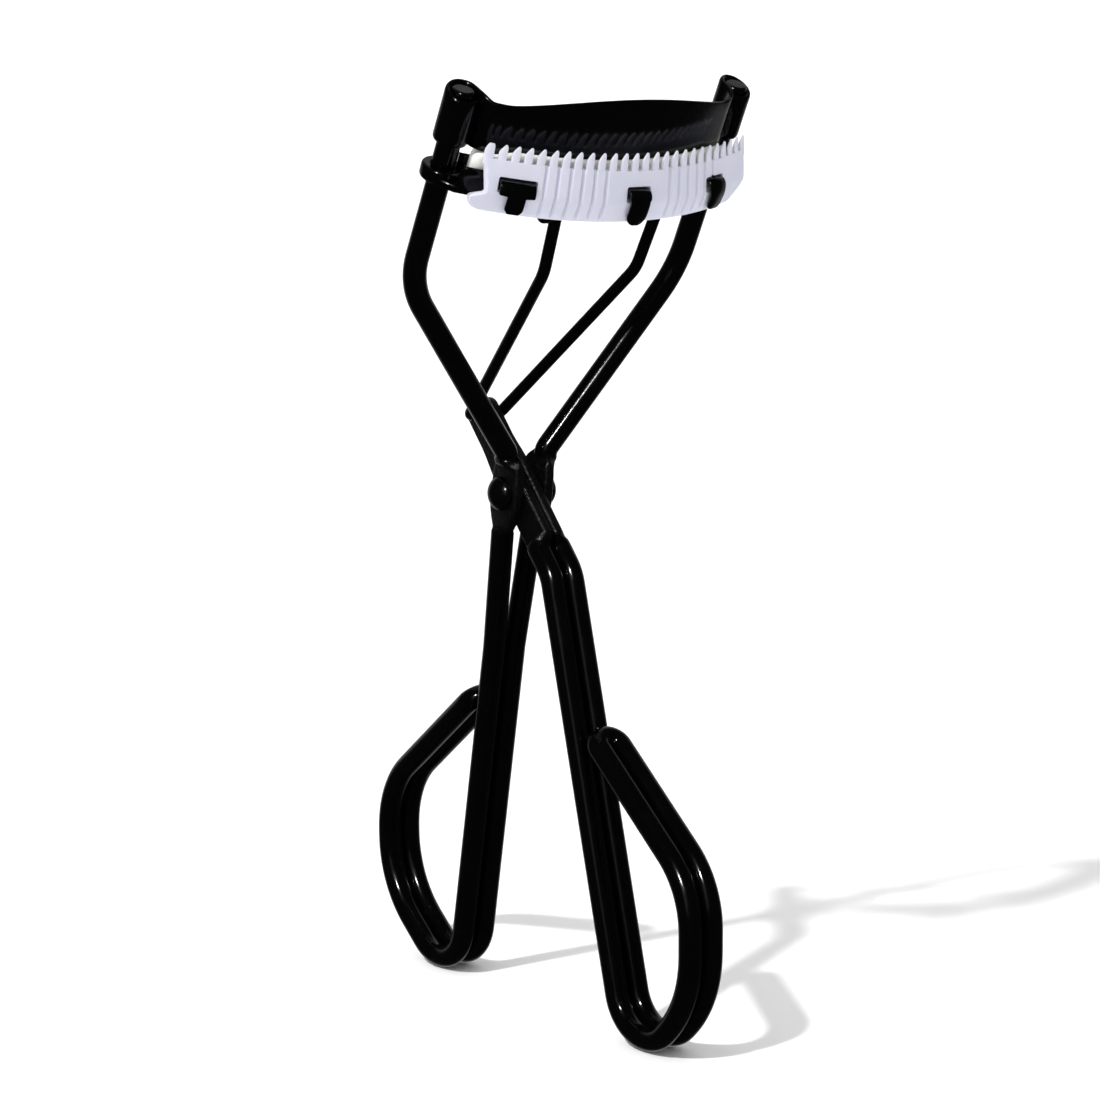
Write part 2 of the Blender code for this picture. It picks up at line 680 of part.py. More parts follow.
def main():
    clear_scene()
    enamel = make_material("black_enamel")
    silicone = make_material("silicone")
    plastic = make_material("comb_plastic")
    make_frame_wire(enamel)
    make_lever_wire(enamel)
    make_pivot_rivet(enamel)
    make_push_wire(enamel)
    make_upper_jaw_plate(enamel)
    make_lower_jaw_channel(enamel)
    make_silicone_pad(silicone)
    make_lash_comb(plastic)


main()
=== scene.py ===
"""The looks of the eyelash curler: fine meshes, materials, light, floor and camera.

Each piece stands for one CAD node and is built again from the same design, with smooth sections,
rounded edges and the detail that the CAD leaves out. Lengths in the shape functions are in
millimetres; MM turns them into the frame's metres.
"""

import json
import math

import bmesh
import bpy
from mathutils import Matrix, Vector


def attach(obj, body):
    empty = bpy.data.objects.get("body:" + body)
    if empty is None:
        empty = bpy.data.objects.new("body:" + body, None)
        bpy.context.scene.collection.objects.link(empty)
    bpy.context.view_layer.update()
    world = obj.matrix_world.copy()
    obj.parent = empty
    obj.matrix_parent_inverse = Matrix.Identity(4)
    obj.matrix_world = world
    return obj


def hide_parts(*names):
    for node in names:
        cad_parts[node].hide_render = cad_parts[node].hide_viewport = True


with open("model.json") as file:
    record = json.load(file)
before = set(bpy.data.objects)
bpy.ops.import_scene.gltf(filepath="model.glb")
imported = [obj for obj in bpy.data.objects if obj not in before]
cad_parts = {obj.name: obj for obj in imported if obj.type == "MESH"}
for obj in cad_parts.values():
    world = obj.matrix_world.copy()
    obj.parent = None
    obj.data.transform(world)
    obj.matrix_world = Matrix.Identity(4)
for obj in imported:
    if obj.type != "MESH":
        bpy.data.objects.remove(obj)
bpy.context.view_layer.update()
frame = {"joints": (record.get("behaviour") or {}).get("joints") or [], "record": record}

MM = 0.001

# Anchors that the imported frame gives.
JOINTS = {joint["name"]: joint for joint in frame["joints"]}
PIVOT = Vector(JOINTS["lever_hinge"]["pos_m"]) / MM
EYE = Vector(JOINTS["link_hinge"]["pos_m"]) / MM
POST_UP = Vector(JOINTS["jaw_slide"]["axis"]).normalized()
POST_OUT = Vector((0.0, -POST_UP.z, POST_UP.y))
ARM_UP = (EYE - Vector((0.0, PIVOT.y, PIVOT.z))).normalized()

# Wires. Each loop is y from the pivot, z and bend radius at every corner from its foot to its end.
WIRE_R = 1.25
WIRE_X = 1.36
LEG_LEAN = math.radians(10.8)
LEG_WAIST_Z = 39.0
LEVER_WAIST = (-7.07, 48.47)
LEVER_WAIST_R = 5.0
FAR_LOOP = ((11.05, -2.75, 4.9), (24.35, 7.8, 11.8), (24.35, 19.3, 10.4), (8.45, 31.85, 0.0))
NEAR_LOOP = ((-20.5, -3.25, 4.85), (-30.6, 6.7, 12.4), (-30.6, 19.0, 9.8), (-15.55, 30.95, 0.0))
WIRE_END_ROUND = 0.34

# Where the wires are pressed flat. Heights of the frame's flat are from the pivot.
FLAT_HALF_THICK = 0.63
FLAT_ROUND_R = 0.42
FLAT_HALF_WIDE = 2.0
FRAME_FLAT_X = 2.0
FRAME_FLAT_HALF_WIDE = 2.35
FRAME_TOP_X = 2.62
FRAME_STEP_OUT = (3.1, 3.9)
FRAME_FLAT_FOOT = (-4.4, -3.8)
FRAME_FLAT_TOP = (3.2, 4.2)
FRAME_LENS_MIDDLE = -0.5
FRAME_LENS_DOWN = 3.6
FRAME_LENS_UP = 6.6
FRAME_FORK = (61.0, 1.7)
LEVER_FLAT_X = 0.68
TIP_HALF_WIDE = 1.6
TIP_TAPER = (2.5, 7.0)
FLAT_STEP = 1.0

# Push wire.
LINK_R = 0.65
LINK_EYE_X = 2.08
LINK_BEND = (6.05, -12.14, 81.1)
LINK_BEND_R = 5.0
LINK_TOP_X = 6.6
LINK_END_X = 9.0
LINK_CORNER_R = 0.8
LINK_END_ROUND = 0.22
LINK_TOP_N = 6.1

# Posts.
POST_X = 17.65
POST_FOOT = Vector((POST_X, -4.7, 80.1))
POST_END = 22.3
POST_BEND_R = 9.0

# Lever arm.
ARM_HOLE = 10.3
ARM_TIP = 12.2
FLAT_FOOT = 6.4

# Rivet.
RIVET_R = 0.9
RIVET_HOLE_R = 0.97
RIVET_HEAD_R = 1.85
RIVET_HEAD_HIGH = 1.0
RIVET_RIM = 0.4
RIVET_GRIP = 2.7
LINK_HOLE_R = 0.73

# Jaws, in post coordinates: x across, s up along the posts, n out from the posts to the comb.
ARC_CENTRE_N = -28.5
PLATE_N = 6.0
PLATE_HALF_THICK = 0.25
PLATE_FOOT = 16.5
PLATE_DIP = 21.95
PLATE_CROWN = 1.85
PLATE_DIP_X = 13.8
PLATE_ARC_X = 13.4
S_BEND_REACH = (1.6, 2.3)
ROLL_RAMP_X = (15.2, 16.4)
ROLL_TOP = 22.6
ROLL_R = 1.56
ROLL_HALF_THICK = 0.27
ROLL_TURN = math.radians(308.0)
ROLL_DROP = 1.0
ROLL_FOOT_ROUND = 0.2
ROLL_TOP_ROUND = 0.12
FLOOR_FOOT = 12.3
FLOOR_TOP = 13.1
WALL_TOP = 15.3
WALL_IN = 7.3
WALL_OUT = 7.8
REAR_IN = 4.2
REAR_OUT = 4.7
CHANNEL_ANGLE = math.radians(25.5)
WING_ANGLE = math.radians(29.6)
REAR_WING_ANGLE = math.radians(29.4)
WALL_ROOT = 0.25
SHEET_EDGE_R = 0.22
EYELET_R = 2.15
FLOOR_EYELET_R = 2.08
FLOOR_EYELET_ARC = (213.9, 197.0)
EYELET_FOOT = 12.5
EYELET_TOP = 13.85
EYELET_HOLE_R = 1.33
EYELET_EDGE_R = 0.3
LUG_S = 11.25
LUG_N = 5.82
LUG_X = 7.9
LUG_R = 1.2
LUG_HOLE_R = 0.85
LUG_ROOT = 0.35
LUG_EDGE = ((0.4, 0.12), (0.35, 0.03), (0.28, 0.0))
PAD_N = 6.0
PAD_HALF_WIDE = 1.2
PAD_FOOT = 13.2
PAD_TOP = 16.75
PAD_ANGLE = math.radians(28.0)
PAD_LIP = 0.65
PAD_END_R = 1.15

# Lash comb. Teeth are evenly spaced along the arc, with a slot at the middle. The left edge is
# (height, reach along the arc) from foot to top.
COMB_N = 9.0
COMB_THICK = 0.75
COMB_TOP_THINNER = 0.28
COMB_FOOT = 12.0
COMB_KINK_S = 14.2
COMB_KINK_N = 10.2
COMB_SLOT_FOOT = 17.35
COMB_TIP = 19.0
COMB_TIP_N = 8.5
COMB_FOOT_N = 10.0
COMB_END = 17.45
COMB_SKIRT_EDGE = ((12.0, 17.2), (12.35, 17.85), (12.8, 18.2), (13.3, 18.25), (13.55, 18.05))
COMB_NOTCH_EDGE = ((13.75, 17.5), (13.95, 16.95), (14.2, 16.75), (15.0, 16.85))
COMB_BAND_EDGE = ((16.0, 17.15), (17.0, 17.48), (19.0, 17.6))
COMB_LEFT_EDGE = COMB_SKIRT_EDGE + COMB_NOTCH_EDGE + COMB_BAND_EDGE
COMB_BEVEL = 2.4
TOOTH_SHOULDER = 18.05
TOOTH_ROOT = 0.6
TOOTH_TIP_THINNER = 0.2
TOOTH_TIP = (0.12, 0.34)
TOOTH_ROUND_R = 0.13
TOOTH_SET_BACK = 0.02
END_TOOTH_DROP = 0.3
END_TOOTH_WIDER = 0.12
TOOTH_PITCH = 1.36
SLOT_WIDE = 0.48
SLOTS_EACH_SIDE = 12
FIRST_GROOVE = 3
LAST_GROOVE = 8
GROOVE_DEEP = 0.28
GROOVE_HALF_WIDE = 0.26
COMB_EDGE = (0.16, 0.3)
COMB_FOOT_EDGE = (0.14, 0.35)
COMB_STRETCH = (0.86, 1.0)
WINDOW_WIDE = (4.1, 3.0, 3.0)
WINDOW_FOOT = 14.3
WINDOW_TOP = 15.85

# Tabs that hold the comb: places along the arc, feet, half widths and end shapes.
LEFT_TAB = -13.6
RIGHT_TAB = 11.2
TAB_FEET = (12.3, 11.85, 12.4)
TAB_HALF_THICK = 0.21
LEFT_TAB_STEM = 0.98
LEFT_TAB_BAR = 1.92
LEFT_TAB_STEP = (1.95, 2.05)
LEFT_TAB_CHAMFER = 0.5
MIDDLE_TAB_STEM = 1.22
MIDDLE_TAB_EAR = 0.16
MIDDLE_TAB_STEP = (2.7, 2.9)
RIGHT_TAB_STEM = 1.08
RIGHT_TAB_WIDER = 0.27
RIGHT_TAB_TAPER = (0.6, 3.0)
RIGHT_TAB_END_R = 0.8

# The camera's turn about the object, which the paper sweep follows, and the sweep's own sizes in metres.
VIEW_TURN = math.radians(-37.0)
SWEEP_Y = 1.6
SWEEP_R = 0.9

# The direction of the pale backdrop that glossy surfaces mirror at their edges.
BACKDROP = (0.6, 0.8, -0.03)


# ---------------------------------------------------------------- points and sections


def at_pivot(x, y, z):
    """A point given from the pivot in x and y, and from the standing surface in z."""
    return Vector((x, y + PIVOT.y, z))


def at_post(x, s, n):
    """A point in post coordinates, where n grows towards the comb."""
    foot = at_pivot(0.0, POST_FOOT.y, POST_FOOT.z)
    return foot + Vector((x, 0.0, 0.0)) + POST_UP * s + POST_OUT * n


def on_arc(along, s, n, across=0.0):
    """A point on the jaw's arc, or across from it on the tangent. along is measured on the comb's arc."""
    angle = along / (COMB_N - ARC_CENTRE_N)
    radius = n - ARC_CENTRE_N
    x = radius * math.sin(angle) + across * math.cos(angle)
    return at_post(x, s, ARC_CENTRE_N + radius * math.cos(angle) - across * math.sin(angle))


def on_arm(x, distance):
    """A point on the lever's upper arm, or below the pivot where distance is negative."""
    return Vector((x, PIVOT.y, PIVOT.z)) + ARM_UP * distance


def ramp(value, low, high):
    """0 below low, 1 above high, and a smooth slope between."""
    t = min(1.0, max(0.0, (value - low) / (high - low)))
    return t * t * (3.0 - 2.0 * t)


def oblong(half_x, half_wide, round_r, steps=8):
    """Offsets round an oblong with rounded corners: a circle where all three sizes are equal."""
    offsets = []
    for quarter in range(4):
        sign_x = 1.0 if quarter in (0, 3) else -1.0
        sign_y = 1.0 if quarter in (0, 1) else -1.0
        for i in range(steps):
            turn = (quarter + (i + 0.5) / steps) * math.pi / 2.0
            u = sign_x * (half_x - round_r) + round_r * math.cos(turn)
            v = sign_y * (half_wide - round_r) + round_r * math.sin(turn)
            offsets.append((u, v))
    return offsets


def end_shrink(from_end, round_r):
    """How much narrower a rounded end is at a distance from its tip."""
    if from_end >= round_r:
        return 0.0
    inside = round_r - max(0.0, from_end)
    return round_r - math.sqrt(round_r**2 - inside**2)


# ---------------------------------------------------------------- paths


def filleted(corners, step=math.radians(4.0)):
    """A path through (point, radius) corners, with an arc of that radius at each inner corner."""
    path = [corners[0][0]]
    for (before, _), (corner, radius), (after, _) in zip(corners, corners[1:], corners[2:]):
        back = (before - corner).normalized()
        ahead = (after - corner).normalized()
        turn = math.pi - back.angle(ahead)
        if radius == 0.0 or turn < 1e-4:
            path.append(corner)
            continue
        centre = corner + (back + ahead).normalized() * (radius / math.cos(turn / 2.0))
        start = corner + back * (radius * math.tan(turn / 2.0)) - centre
        side = back * -radius
        count = max(3, math.ceil(turn / step))
        for i in range(count + 1):
            angle = turn * i / count
            path.append(centre + start * math.cos(angle) + side * math.sin(angle))
    path.append(corners[-1][0])
    return path


def dense(path, gap_at):
    """Adds even points to a path, so that no gap is longer than gap_at allows there."""
    result = [path[0]]
    for start, end in zip(path, path[1:]):
        length = (end - start).length
        if length < 1e-6:
            continue
        gap = min(gap_at(start.lerp(end, t)) for t in (0.0, 0.25, 0.5, 0.75, 1.0))
        count = max(1, math.ceil(length / gap))
        result += [start.lerp(end, (i + 1) / count) for i in range(count)]
    return result


def tangents(path):
    found = []
    for i, point in enumerate(path):
        before = path[max(i - 1, 0)]
        after = path[min(i + 1, len(path) - 1)]
        back = (point - before).normalized() if i > 0 else Vector()
        ahead = (after - point).normalized() if i < len(path) - 1 else Vector()
        found.append((back + ahead).normalized())
    return found


# ---------------------------------------------------------------- meshes


def skin(rings):
    """Joins equal rings of points into one closed bmesh with flat ends."""
    shape = bmesh.new()
    loops = [[shape.verts.new(point * MM) for point in ring] for ring in rings]
    shape.faces.new(loops[0])
    shape.faces.new(list(reversed(loops[-1])))
    for near, far in zip(loops, loops[1:]):
        for i in range(len(near)):
            j = (i + 1) % len(near)
            shape.faces.new((near[i], far[i], far[j], near[j]))
    bmesh.ops.recalc_face_normals(shape, faces=shape.faces)
    return shape


def body(name, shape):
    """Turns a bmesh into an object in the scene."""
    mesh = bpy.data.meshes.new(name)
    shape.to_mesh(mesh)
    shape.free()
    obj = bpy.data.objects.new(name, mesh)
    bpy.context.scene.collection.objects.link(obj)
    return obj


def apply_modifiers(obj):
    graph = bpy.context.evaluated_depsgraph_get()
    mesh = bpy.data.meshes.new_from_object(obj.evaluated_get(graph), depsgraph=graph)
    obj.modifiers.clear()
    obj.data = mesh


def combine(obj, others, operation):
    """Joins others to obj, or cuts them from it, and removes them."""
    for other in others:
        modifier = obj.modifiers.new(other.name, "BOOLEAN")
        modifier.operation = operation
        modifier.solver = "EXACT"
        modifier.object = other
    bpy.context.view_layer.update()
    apply_modifiers(obj)
    for other in others:
        bpy.data.objects.remove(other, do_unlink=True)


def rod_along_x(name, centre, radius, half_long, sides=48):
    turns = [2.0 * math.pi * i / sides for i in range(sides)]
    rings = []
    for end in (-half_long, half_long):
        middle = centre + Vector((end, 0.0, 0.0))
        rings.append([middle + Vector((0.0, radius * math.cos(t), radius * math.sin(t))) for t in turns])
    return body(name, skin(rings))


def finish_piece(obj, node, material, sharp=50.0):
    """Shades a piece, gives it its material and ties it to its CAD node and body."""
    obj.data.materials.clear()
    obj.data.materials.append(material)
    obj.data.shade_smooth()
    obj.data.set_sharp_from_angle(angle=math.radians(sharp))
    normals = obj.modifiers.new("weighted_normals", "WEIGHTED_NORMAL")
    normals.keep_sharp = True
    normals.weight = 60
    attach(obj, frame_body(node))
    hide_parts(node)
    return obj


def frame_body(node):
    for name, nodes in frame["record"]["behaviour"]["bodies"].items():
        if node in nodes:
            return name
    raise ValueError(node)


def mark(obj, name, amount_at):
    """Stores a number for each point of the mesh, which a material reads."""
    layer = obj.data.attributes.new(name, "FLOAT", "POINT")
    for vertex, value in zip(obj.data.vertices, layer.data):
        value.value = amount_at(vertex.co / MM)


# ---------------------------------------------------------------- materials


def node_material(name):
    material = bpy.data.materials.new(name)
    material.use_nodes = True
    return material, material.node_tree.nodes, material.node_tree.links


def add_noise(nodes, links, coordinates, scale, detail, roughness=0.5):
    noise = nodes.new("ShaderNodeTexNoise")
    noise.inputs["Scale"].default_value = scale
    noise.inputs["Detail"].default_value = detail
    noise.inputs["Roughness"].default_value = roughness
    links.new(coordinates, noise.inputs["Vector"])
    return noise.outputs["Fac"]


def add_range(nodes, links, value, from_low, from_high, to_low, to_high):
    remap = nodes.new("ShaderNodeMapRange")
    remap.inputs["From Min"].default_value = from_low
    remap.inputs["From Max"].default_value = from_high
    remap.inputs["To Min"].default_value = to_low
    remap.inputs["To Max"].default_value = to_high
    links.new(value, remap.inputs["Value"])
    return remap.outputs["Result"]


def add_math(nodes, links, operation, first, second):
    node = nodes.new("ShaderNodeMath")
    node.operation = operation
    for socket, value in zip(node.inputs, (first, second)):
        if isinstance(value, float):
            socket.default_value = value
        else:
            links.new(value, socket)
    return node.outputs["Value"]


def add_colours(nodes, links, factor, low, high):
    mix = nodes.new("ShaderNodeMix")
    mix.data_type = "RGBA"
    links.new(factor, mix.inputs["Factor"])
    mix.inputs["A"].default_value = (*low, 1.0)
    mix.inputs["B"].default_value = (*high, 1.0)
    return mix.outputs["Result"]


def add_bump(nodes, links, height, distance, strength=1.0, normal=None):
    bump = nodes.new("ShaderNodeBump")
    bump.inputs["Distance"].default_value = distance
    bump.inputs["Strength"].default_value = strength
    links.new(height, bump.inputs["Height"])
    if normal is not None:
        links.new(normal, bump.inputs["Normal"])
    return bump.outputs["Normal"]


def object_coordinates(nodes):
    return nodes.new("ShaderNodeTexCoord").outputs["Object"]


def add_attribute(nodes, name):
    attribute = nodes.new("ShaderNodeAttribute")
    attribute.attribute_name = name
    return attribute.outputs["Fac"]


def enamel_material():
    """Black stove enamel: a wet gloss with faint orange peel, duller and rippled where it was pressed,
    with a painted sheen there that lightens its colour.
    """
    material, nodes, links = node_material("black_enamel_gloss")
    shader = nodes["Principled BSDF"]
    where = object_coordinates(nodes)
    pressed = add_attribute(nodes, "pressed")
    cloud = add_noise(nodes, links, where, 420.0, 3.0)
    peel = add_noise(nodes, links, where, 1500.0, 2.0, 0.4)
    grain = add_noise(nodes, links, where, 6500.0, 4.0, 0.7)
    forge = add_noise(nodes, links, where, 1900.0, 5.0, 0.65)

    gloss = add_range(nodes, links, cloud, 0.35, 0.7, 0.11, 0.18)
    dull = add_range(nodes, links, forge, 0.3, 0.7, 0.12, 0.26)
    dull_part = add_math(nodes, links, "MULTIPLY", dull, pressed)
    links.new(add_math(nodes, links, "ADD", gloss, dull_part), shader.inputs["Roughness"])

    tone = add_range(nodes, links, grain, 0.35, 0.75, 0.0, 1.0)
    # Painted sheen: where the wire was pressed flat the base colour is made lighter, standing in for
    # light reflected off the flats.
    painted_flat_sheen = add_math(nodes, links, "MULTIPLY", forge, pressed)
    tone = add_math(nodes, links, "ADD", add_math(nodes, links, "MULTIPLY", tone, 0.35), painted_flat_sheen)
    paint = add_colours(nodes, links, tone, (0.0003, 0.0003, 0.0004), (0.0018, 0.0019, 0.0021))
    links.new(paint, shader.inputs["Base Color"])

    smooth = add_bump(nodes, links, peel, 0.000009)
    ripple = add_math(nodes, links, "MULTIPLY", forge, pressed)
    links.new(add_bump(nodes, links, ripple, 0.00011, 1.0, smooth), shader.inputs["Normal"])
    shader.inputs["Specular IOR Level"].default_value = 0.42
    return material


def silicone_material():
    """Cream-white silicone: soft and slightly see-through, with a fine satin skin."""
    material, nodes, links = node_material("cream_silicone")
    shader = nodes["Principled BSDF"]
    where = object_coordinates(nodes)
    cloud = add_noise(nodes, links, where, 300.0, 3.0)
    grain = add_noise(nodes, links, where, 4200.0, 4.0, 0.6)
    colour = add_colours(nodes, links, cloud, (0.87, 0.87, 0.82), (0.93, 0.93, 0.89))
    links.new(colour, shader.inputs["Base Color"])
    links.new(add_range(nodes, links, grain, 0.3, 0.7, 0.38, 0.54), shader.inputs["Roughness"])
    links.new(add_bump(nodes, links, grain, 0.000018), shader.inputs["Normal"])
    shader.inputs["Subsurface Weight"].default_value = 0.35
    shader.inputs["Subsurface Radius"].default_value = (0.9, 0.8, 0.6)
    shader.inputs["Subsurface Scale"].default_value = 0.0008
    shader.inputs["Specular IOR Level"].default_value = 0.4
    return material


def comb_material():
    """Pale lavender polypropylene: satin, slightly milky, with faint flow marks from the mould."""
    material, nodes, links = node_material("lavender_plastic")
    shader = nodes["Principled BSDF"]
    where = object_coordinates(nodes)
    cloud = add_noise(nodes, links, where, 260.0, 4.0)
    grain = add_noise(nodes, links, where, 5200.0, 3.0, 0.6)
    flow = nodes.new("ShaderNodeMapping")
    flow.inputs["Scale"].default_value = (900.0, 260.0, 130.0)
    links.new(where, flow.inputs["Vector"])
    marks = add_noise(nodes, links, flow.outputs["Vector"], 1.0, 3.0)
    colour = add_colours(nodes, links, cloud, (0.58, 0.585, 0.69), (0.64, 0.645, 0.735))
    links.new(colour, shader.inputs["Base Color"])
    links.new(add_range(nodes, links, grain, 0.3, 0.7, 0.30, 0.46), shader.inputs["Roughness"])
    fine = add_bump(nodes, links, grain, 0.000010)
    links.new(add_bump(nodes, links, marks, 0.000020, 1.0, fine), shader.inputs["Normal"])
    shader.inputs["Subsurface Weight"].default_value = 0.45
    shader.inputs["Subsurface Radius"].default_value = (0.8, 0.8, 1.0)
    shader.inputs["Subsurface Scale"].default_value = 0.0007
    shader.inputs["Specular IOR Level"].default_value = 0.45
    return material


def floor_material():
    material, nodes, links = node_material("white_paper")
    shader = nodes["Principled BSDF"]
    where = object_coordinates(nodes)
    cloud = add_noise(nodes, links, where, 6.0, 3.0)
    colour = add_colours(nodes, links, cloud, (0.90, 0.90, 0.90), (0.92, 0.92, 0.92))
    links.new(colour, shader.inputs["Base Color"])
    shader.inputs["Roughness"].default_value = 1.0
    shader.inputs["Specular IOR Level"].default_value = 0.0
    return material


# ---------------------------------------------------------------- wires


def hairpin_wire(name, half_path, offsets_at, turn_steps=24):
    """A wire that runs down half_path at +x, turns back at its end and runs up again at -x."""
    x_axis = Vector((1.0, 0.0, 0.0))

    def ring(centre, along, across, offsets):
        thin = across.cross(along).normalized()
        return [centre + thin * u + across * v for u, v in offsets]

    half_tangents = tangents(half_path)
    rings = []
    for point, along in zip(half_path, half_tangents):
        across = along.cross(x_axis).normalized()
        rings.append(ring(point, along, across, offsets_at(point)))
    end, along = half_path[-1], half_tangents[-1]
    across = along.cross(x_axis).normalized()
    for i in range(1, turn_steps):
        angle = math.pi * i / turn_steps
        centre = Vector((0.0, end.y, end.z)) + x_axis * (end.x * math.cos(angle))
        centre += along * (end.x * math.sin(angle))
        heading = along * math.cos(angle) - x_axis * math.sin(angle)
        rings.append(ring(centre, heading, across, offsets_at(centre)))
    for point, along in reversed(list(zip(half_path, half_tangents))):
        mirrored = Vector((-point.x, point.y, point.z))
        back = Vector((along.x, -along.y, -along.z))
        across = -back.cross(x_axis).normalized()
        rings.append(ring(mirrored, back, across, offsets_at(mirrored)))
    return body(name, skin(rings))


def pressed_section(half_x, half_wide, flat):
    """Offsets round the wire: a circle where it is round, a rounded oblong where it is flat."""
    round_r = WIRE_R + (FLAT_ROUND_R - WIRE_R) * flat
    return oblong(half_x, half_wide, min(half_x, half_wide, round_r))


def frame_flatness(point):
    height = point.z - PIVOT.z
    return min(ramp(height, *FRAME_FLAT_FOOT), 1.0 - ramp(height, *FRAME_FLAT_TOP))


def post_distance(point):
    """How far a point on a post is below the post's end."""
    foot = at_pivot(0.0, POST_FOOT.y, POST_FOOT.z)
    return POST_END - (point - foot).dot(POST_UP)


def frame_offsets(point):
    flat = frame_flatness(point)
    shrink = end_shrink(post_distance(point), WIRE_END_ROUND) if point.z > POST_FOOT.z else 0.0
    from_middle = point.z - PIVOT.z - FRAME_LENS_MIDDLE
    reach = FRAME_LENS_UP if from_middle > 0.0 else FRAME_LENS_DOWN
    lens = max(0.0, 1.0 - (from_middle / reach) ** 2)
    half_x = WIRE_R + (FLAT_HALF_THICK - WIRE_R) * flat - shrink
    half_wide = WIRE_R + (FRAME_FLAT_HALF_WIDE - WIRE_R) * lens * flat - shrink
    return pressed_section(half_x, half_wide, flat)


def make_frame(enamel):
    def leg(x, z):
        return at_pivot(x, (PIVOT.z - z) * math.tan(LEG_LEAN), z)

    fork_z, fork_r = FRAME_FORK
    corners = [
        (at_post(POST_X, POST_END, 0.0), 0.0),
        (at_pivot(*POST_FOOT), POST_BEND_R),
        (leg(FRAME_TOP_X, fork_z), fork_r),
        (leg(FRAME_TOP_X, PIVOT.z + FRAME_STEP_OUT[1]), 0.0),
        (leg(FRAME_FLAT_X, PIVOT.z + FRAME_STEP_OUT[0]), 0.0),
        (leg(FRAME_FLAT_X, PIVOT.z + FRAME_FLAT_FOOT[0]), 0.0),
        (leg(WIRE_X, LEG_WAIST_Z), 0.0),
    ]
    corners += [(at_pivot(WIRE_X, y, z), radius) for y, z, radius in FAR_LOOP]

    def gap_at(point):
        if point.z > POST_FOOT.z and post_distance(point) < 0.7:
            return 0.06
        if abs(point.z - PIVOT.z) < 5.0:
            return 0.1
        return 1.2

    path = dense(filleted(corners), gap_at)
    obj = hairpin_wire("wire_frame", path, frame_offsets)
    combine(obj, [rod_along_x("rivet_hole", PIVOT, RIVET_HOLE_R, 4.0)], "DIFFERENCE")
    mark(obj, "pressed", frame_flatness)
    return finish_piece(obj, "frame_wire", enamel)


def arm_distance(point):
    return (point - Vector((0.0, PIVOT.y, PIVOT.z))).dot(ARM_UP)


def lever_flatness(point):
    if point.z < PIVOT.z - FLAT_FOOT - 2.0 * FLAT_STEP:
        return 0.0
    return ramp(arm_distance(point), -FLAT_FOOT - FLAT_STEP, -FLAT_FOOT)


def lever_offsets(point):
    distance = arm_distance(point)
    flat = lever_flatness(point)
    half_wide = WIRE_R + (FLAT_HALF_WIDE - WIRE_R) * flat
    half_wide += (TIP_HALF_WIDE - FLAT_HALF_WIDE) * ramp(distance, *TIP_TAPER)
    half_x = WIRE_R + (FLAT_HALF_THICK - WIRE_R) * flat
    from_end = ARM_TIP - distance
    if from_end < TIP_HALF_WIDE:
        inside = TIP_HALF_WIDE - max(0.0, from_end)
        half_wide = max(0.25, math.sqrt(TIP_HALF_WIDE**2 - inside**2))
        half_x -= end_shrink(from_end, 0.2)
    return pressed_section(half_x, half_wide, flat)


def make_lever(enamel):
    corners = [
        (on_arm(LEVER_FLAT_X, ARM_TIP), 0.0),
        (on_arm(LEVER_FLAT_X, TIP_TAPER[1]), 0.0),
        (on_arm(LEVER_FLAT_X, -FLAT_FOOT), 0.0),
        (on_arm(WIRE_X, -FLAT_FOOT - FLAT_STEP), 0.0),
        (at_pivot(WIRE_X, *LEVER_WAIST), LEVER_WAIST_R),
    ]
    corners += [(at_pivot(WIRE_X, y, z), radius) for y, z, radius in NEAR_LOOP]

    def gap_at(point):
        if ARM_TIP - arm_distance(point) < TIP_HALF_WIDE:
            return 0.07
        return 0.12 if 0.0 < lever_flatness(point) < 1.0 else 1.2

    path = dense(filleted(corners), gap_at)
    obj = hairpin_wire("wire_lever", path, lever_offsets)
    holes = [
        rod_along_x("rivet_hole", PIVOT, RIVET_HOLE_R, 3.0),
        rod_along_x("link_hole", on_arm(0.0, ARM_HOLE), LINK_HOLE_R, 3.0),
    ]
    combine(obj, holes, "DIFFERENCE")
    mark(obj, "pressed", lever_flatness)
    return finish_piece(obj, "lever_wire", enamel)


def make_rivet(enamel, sides=64):
    dome_r = (RIVET_HEAD_R**2 + RIVET_HEAD_HIGH**2) / (2.0 * RIVET_HEAD_HIGH)
    full = math.asin(RIVET_HEAD_R / dome_r)
    profile = []
    for i in range(14):
        angle = full * (i + 0.3) / 14.5
        out = RIVET_GRIP + RIVET_RIM + RIVET_HEAD_HIGH - dome_r * (1.0 - math.cos(angle))
        profile.append((out, dome_r * math.sin(angle)))
    profile.append((RIVET_GRIP + RIVET_RIM - 0.08, RIVET_HEAD_R))
    profile.append((RIVET_GRIP + 0.12, RIVET_HEAD_R))
    profile.append((RIVET_GRIP + 0.04, RIVET_HEAD_R - 0.02))
    profile.append((RIVET_GRIP, RIVET_HEAD_R - 0.1))
    profile.append((RIVET_GRIP, RIVET_R))
    profile += [(-x, r) for x, r in reversed(profile)]
    turns = [2.0 * math.pi * i / sides for i in range(sides)]
    rings = []
    for x, radius in profile:
        rings.append([PIVOT + Vector((x, radius * math.cos(t), radius * math.sin(t))) for t in turns])
    obj = body("rivet", skin(rings))
    mark(obj, "pressed", lambda point: 0.12)
    return finish_piece(obj, "pivot_rivet", enamel)


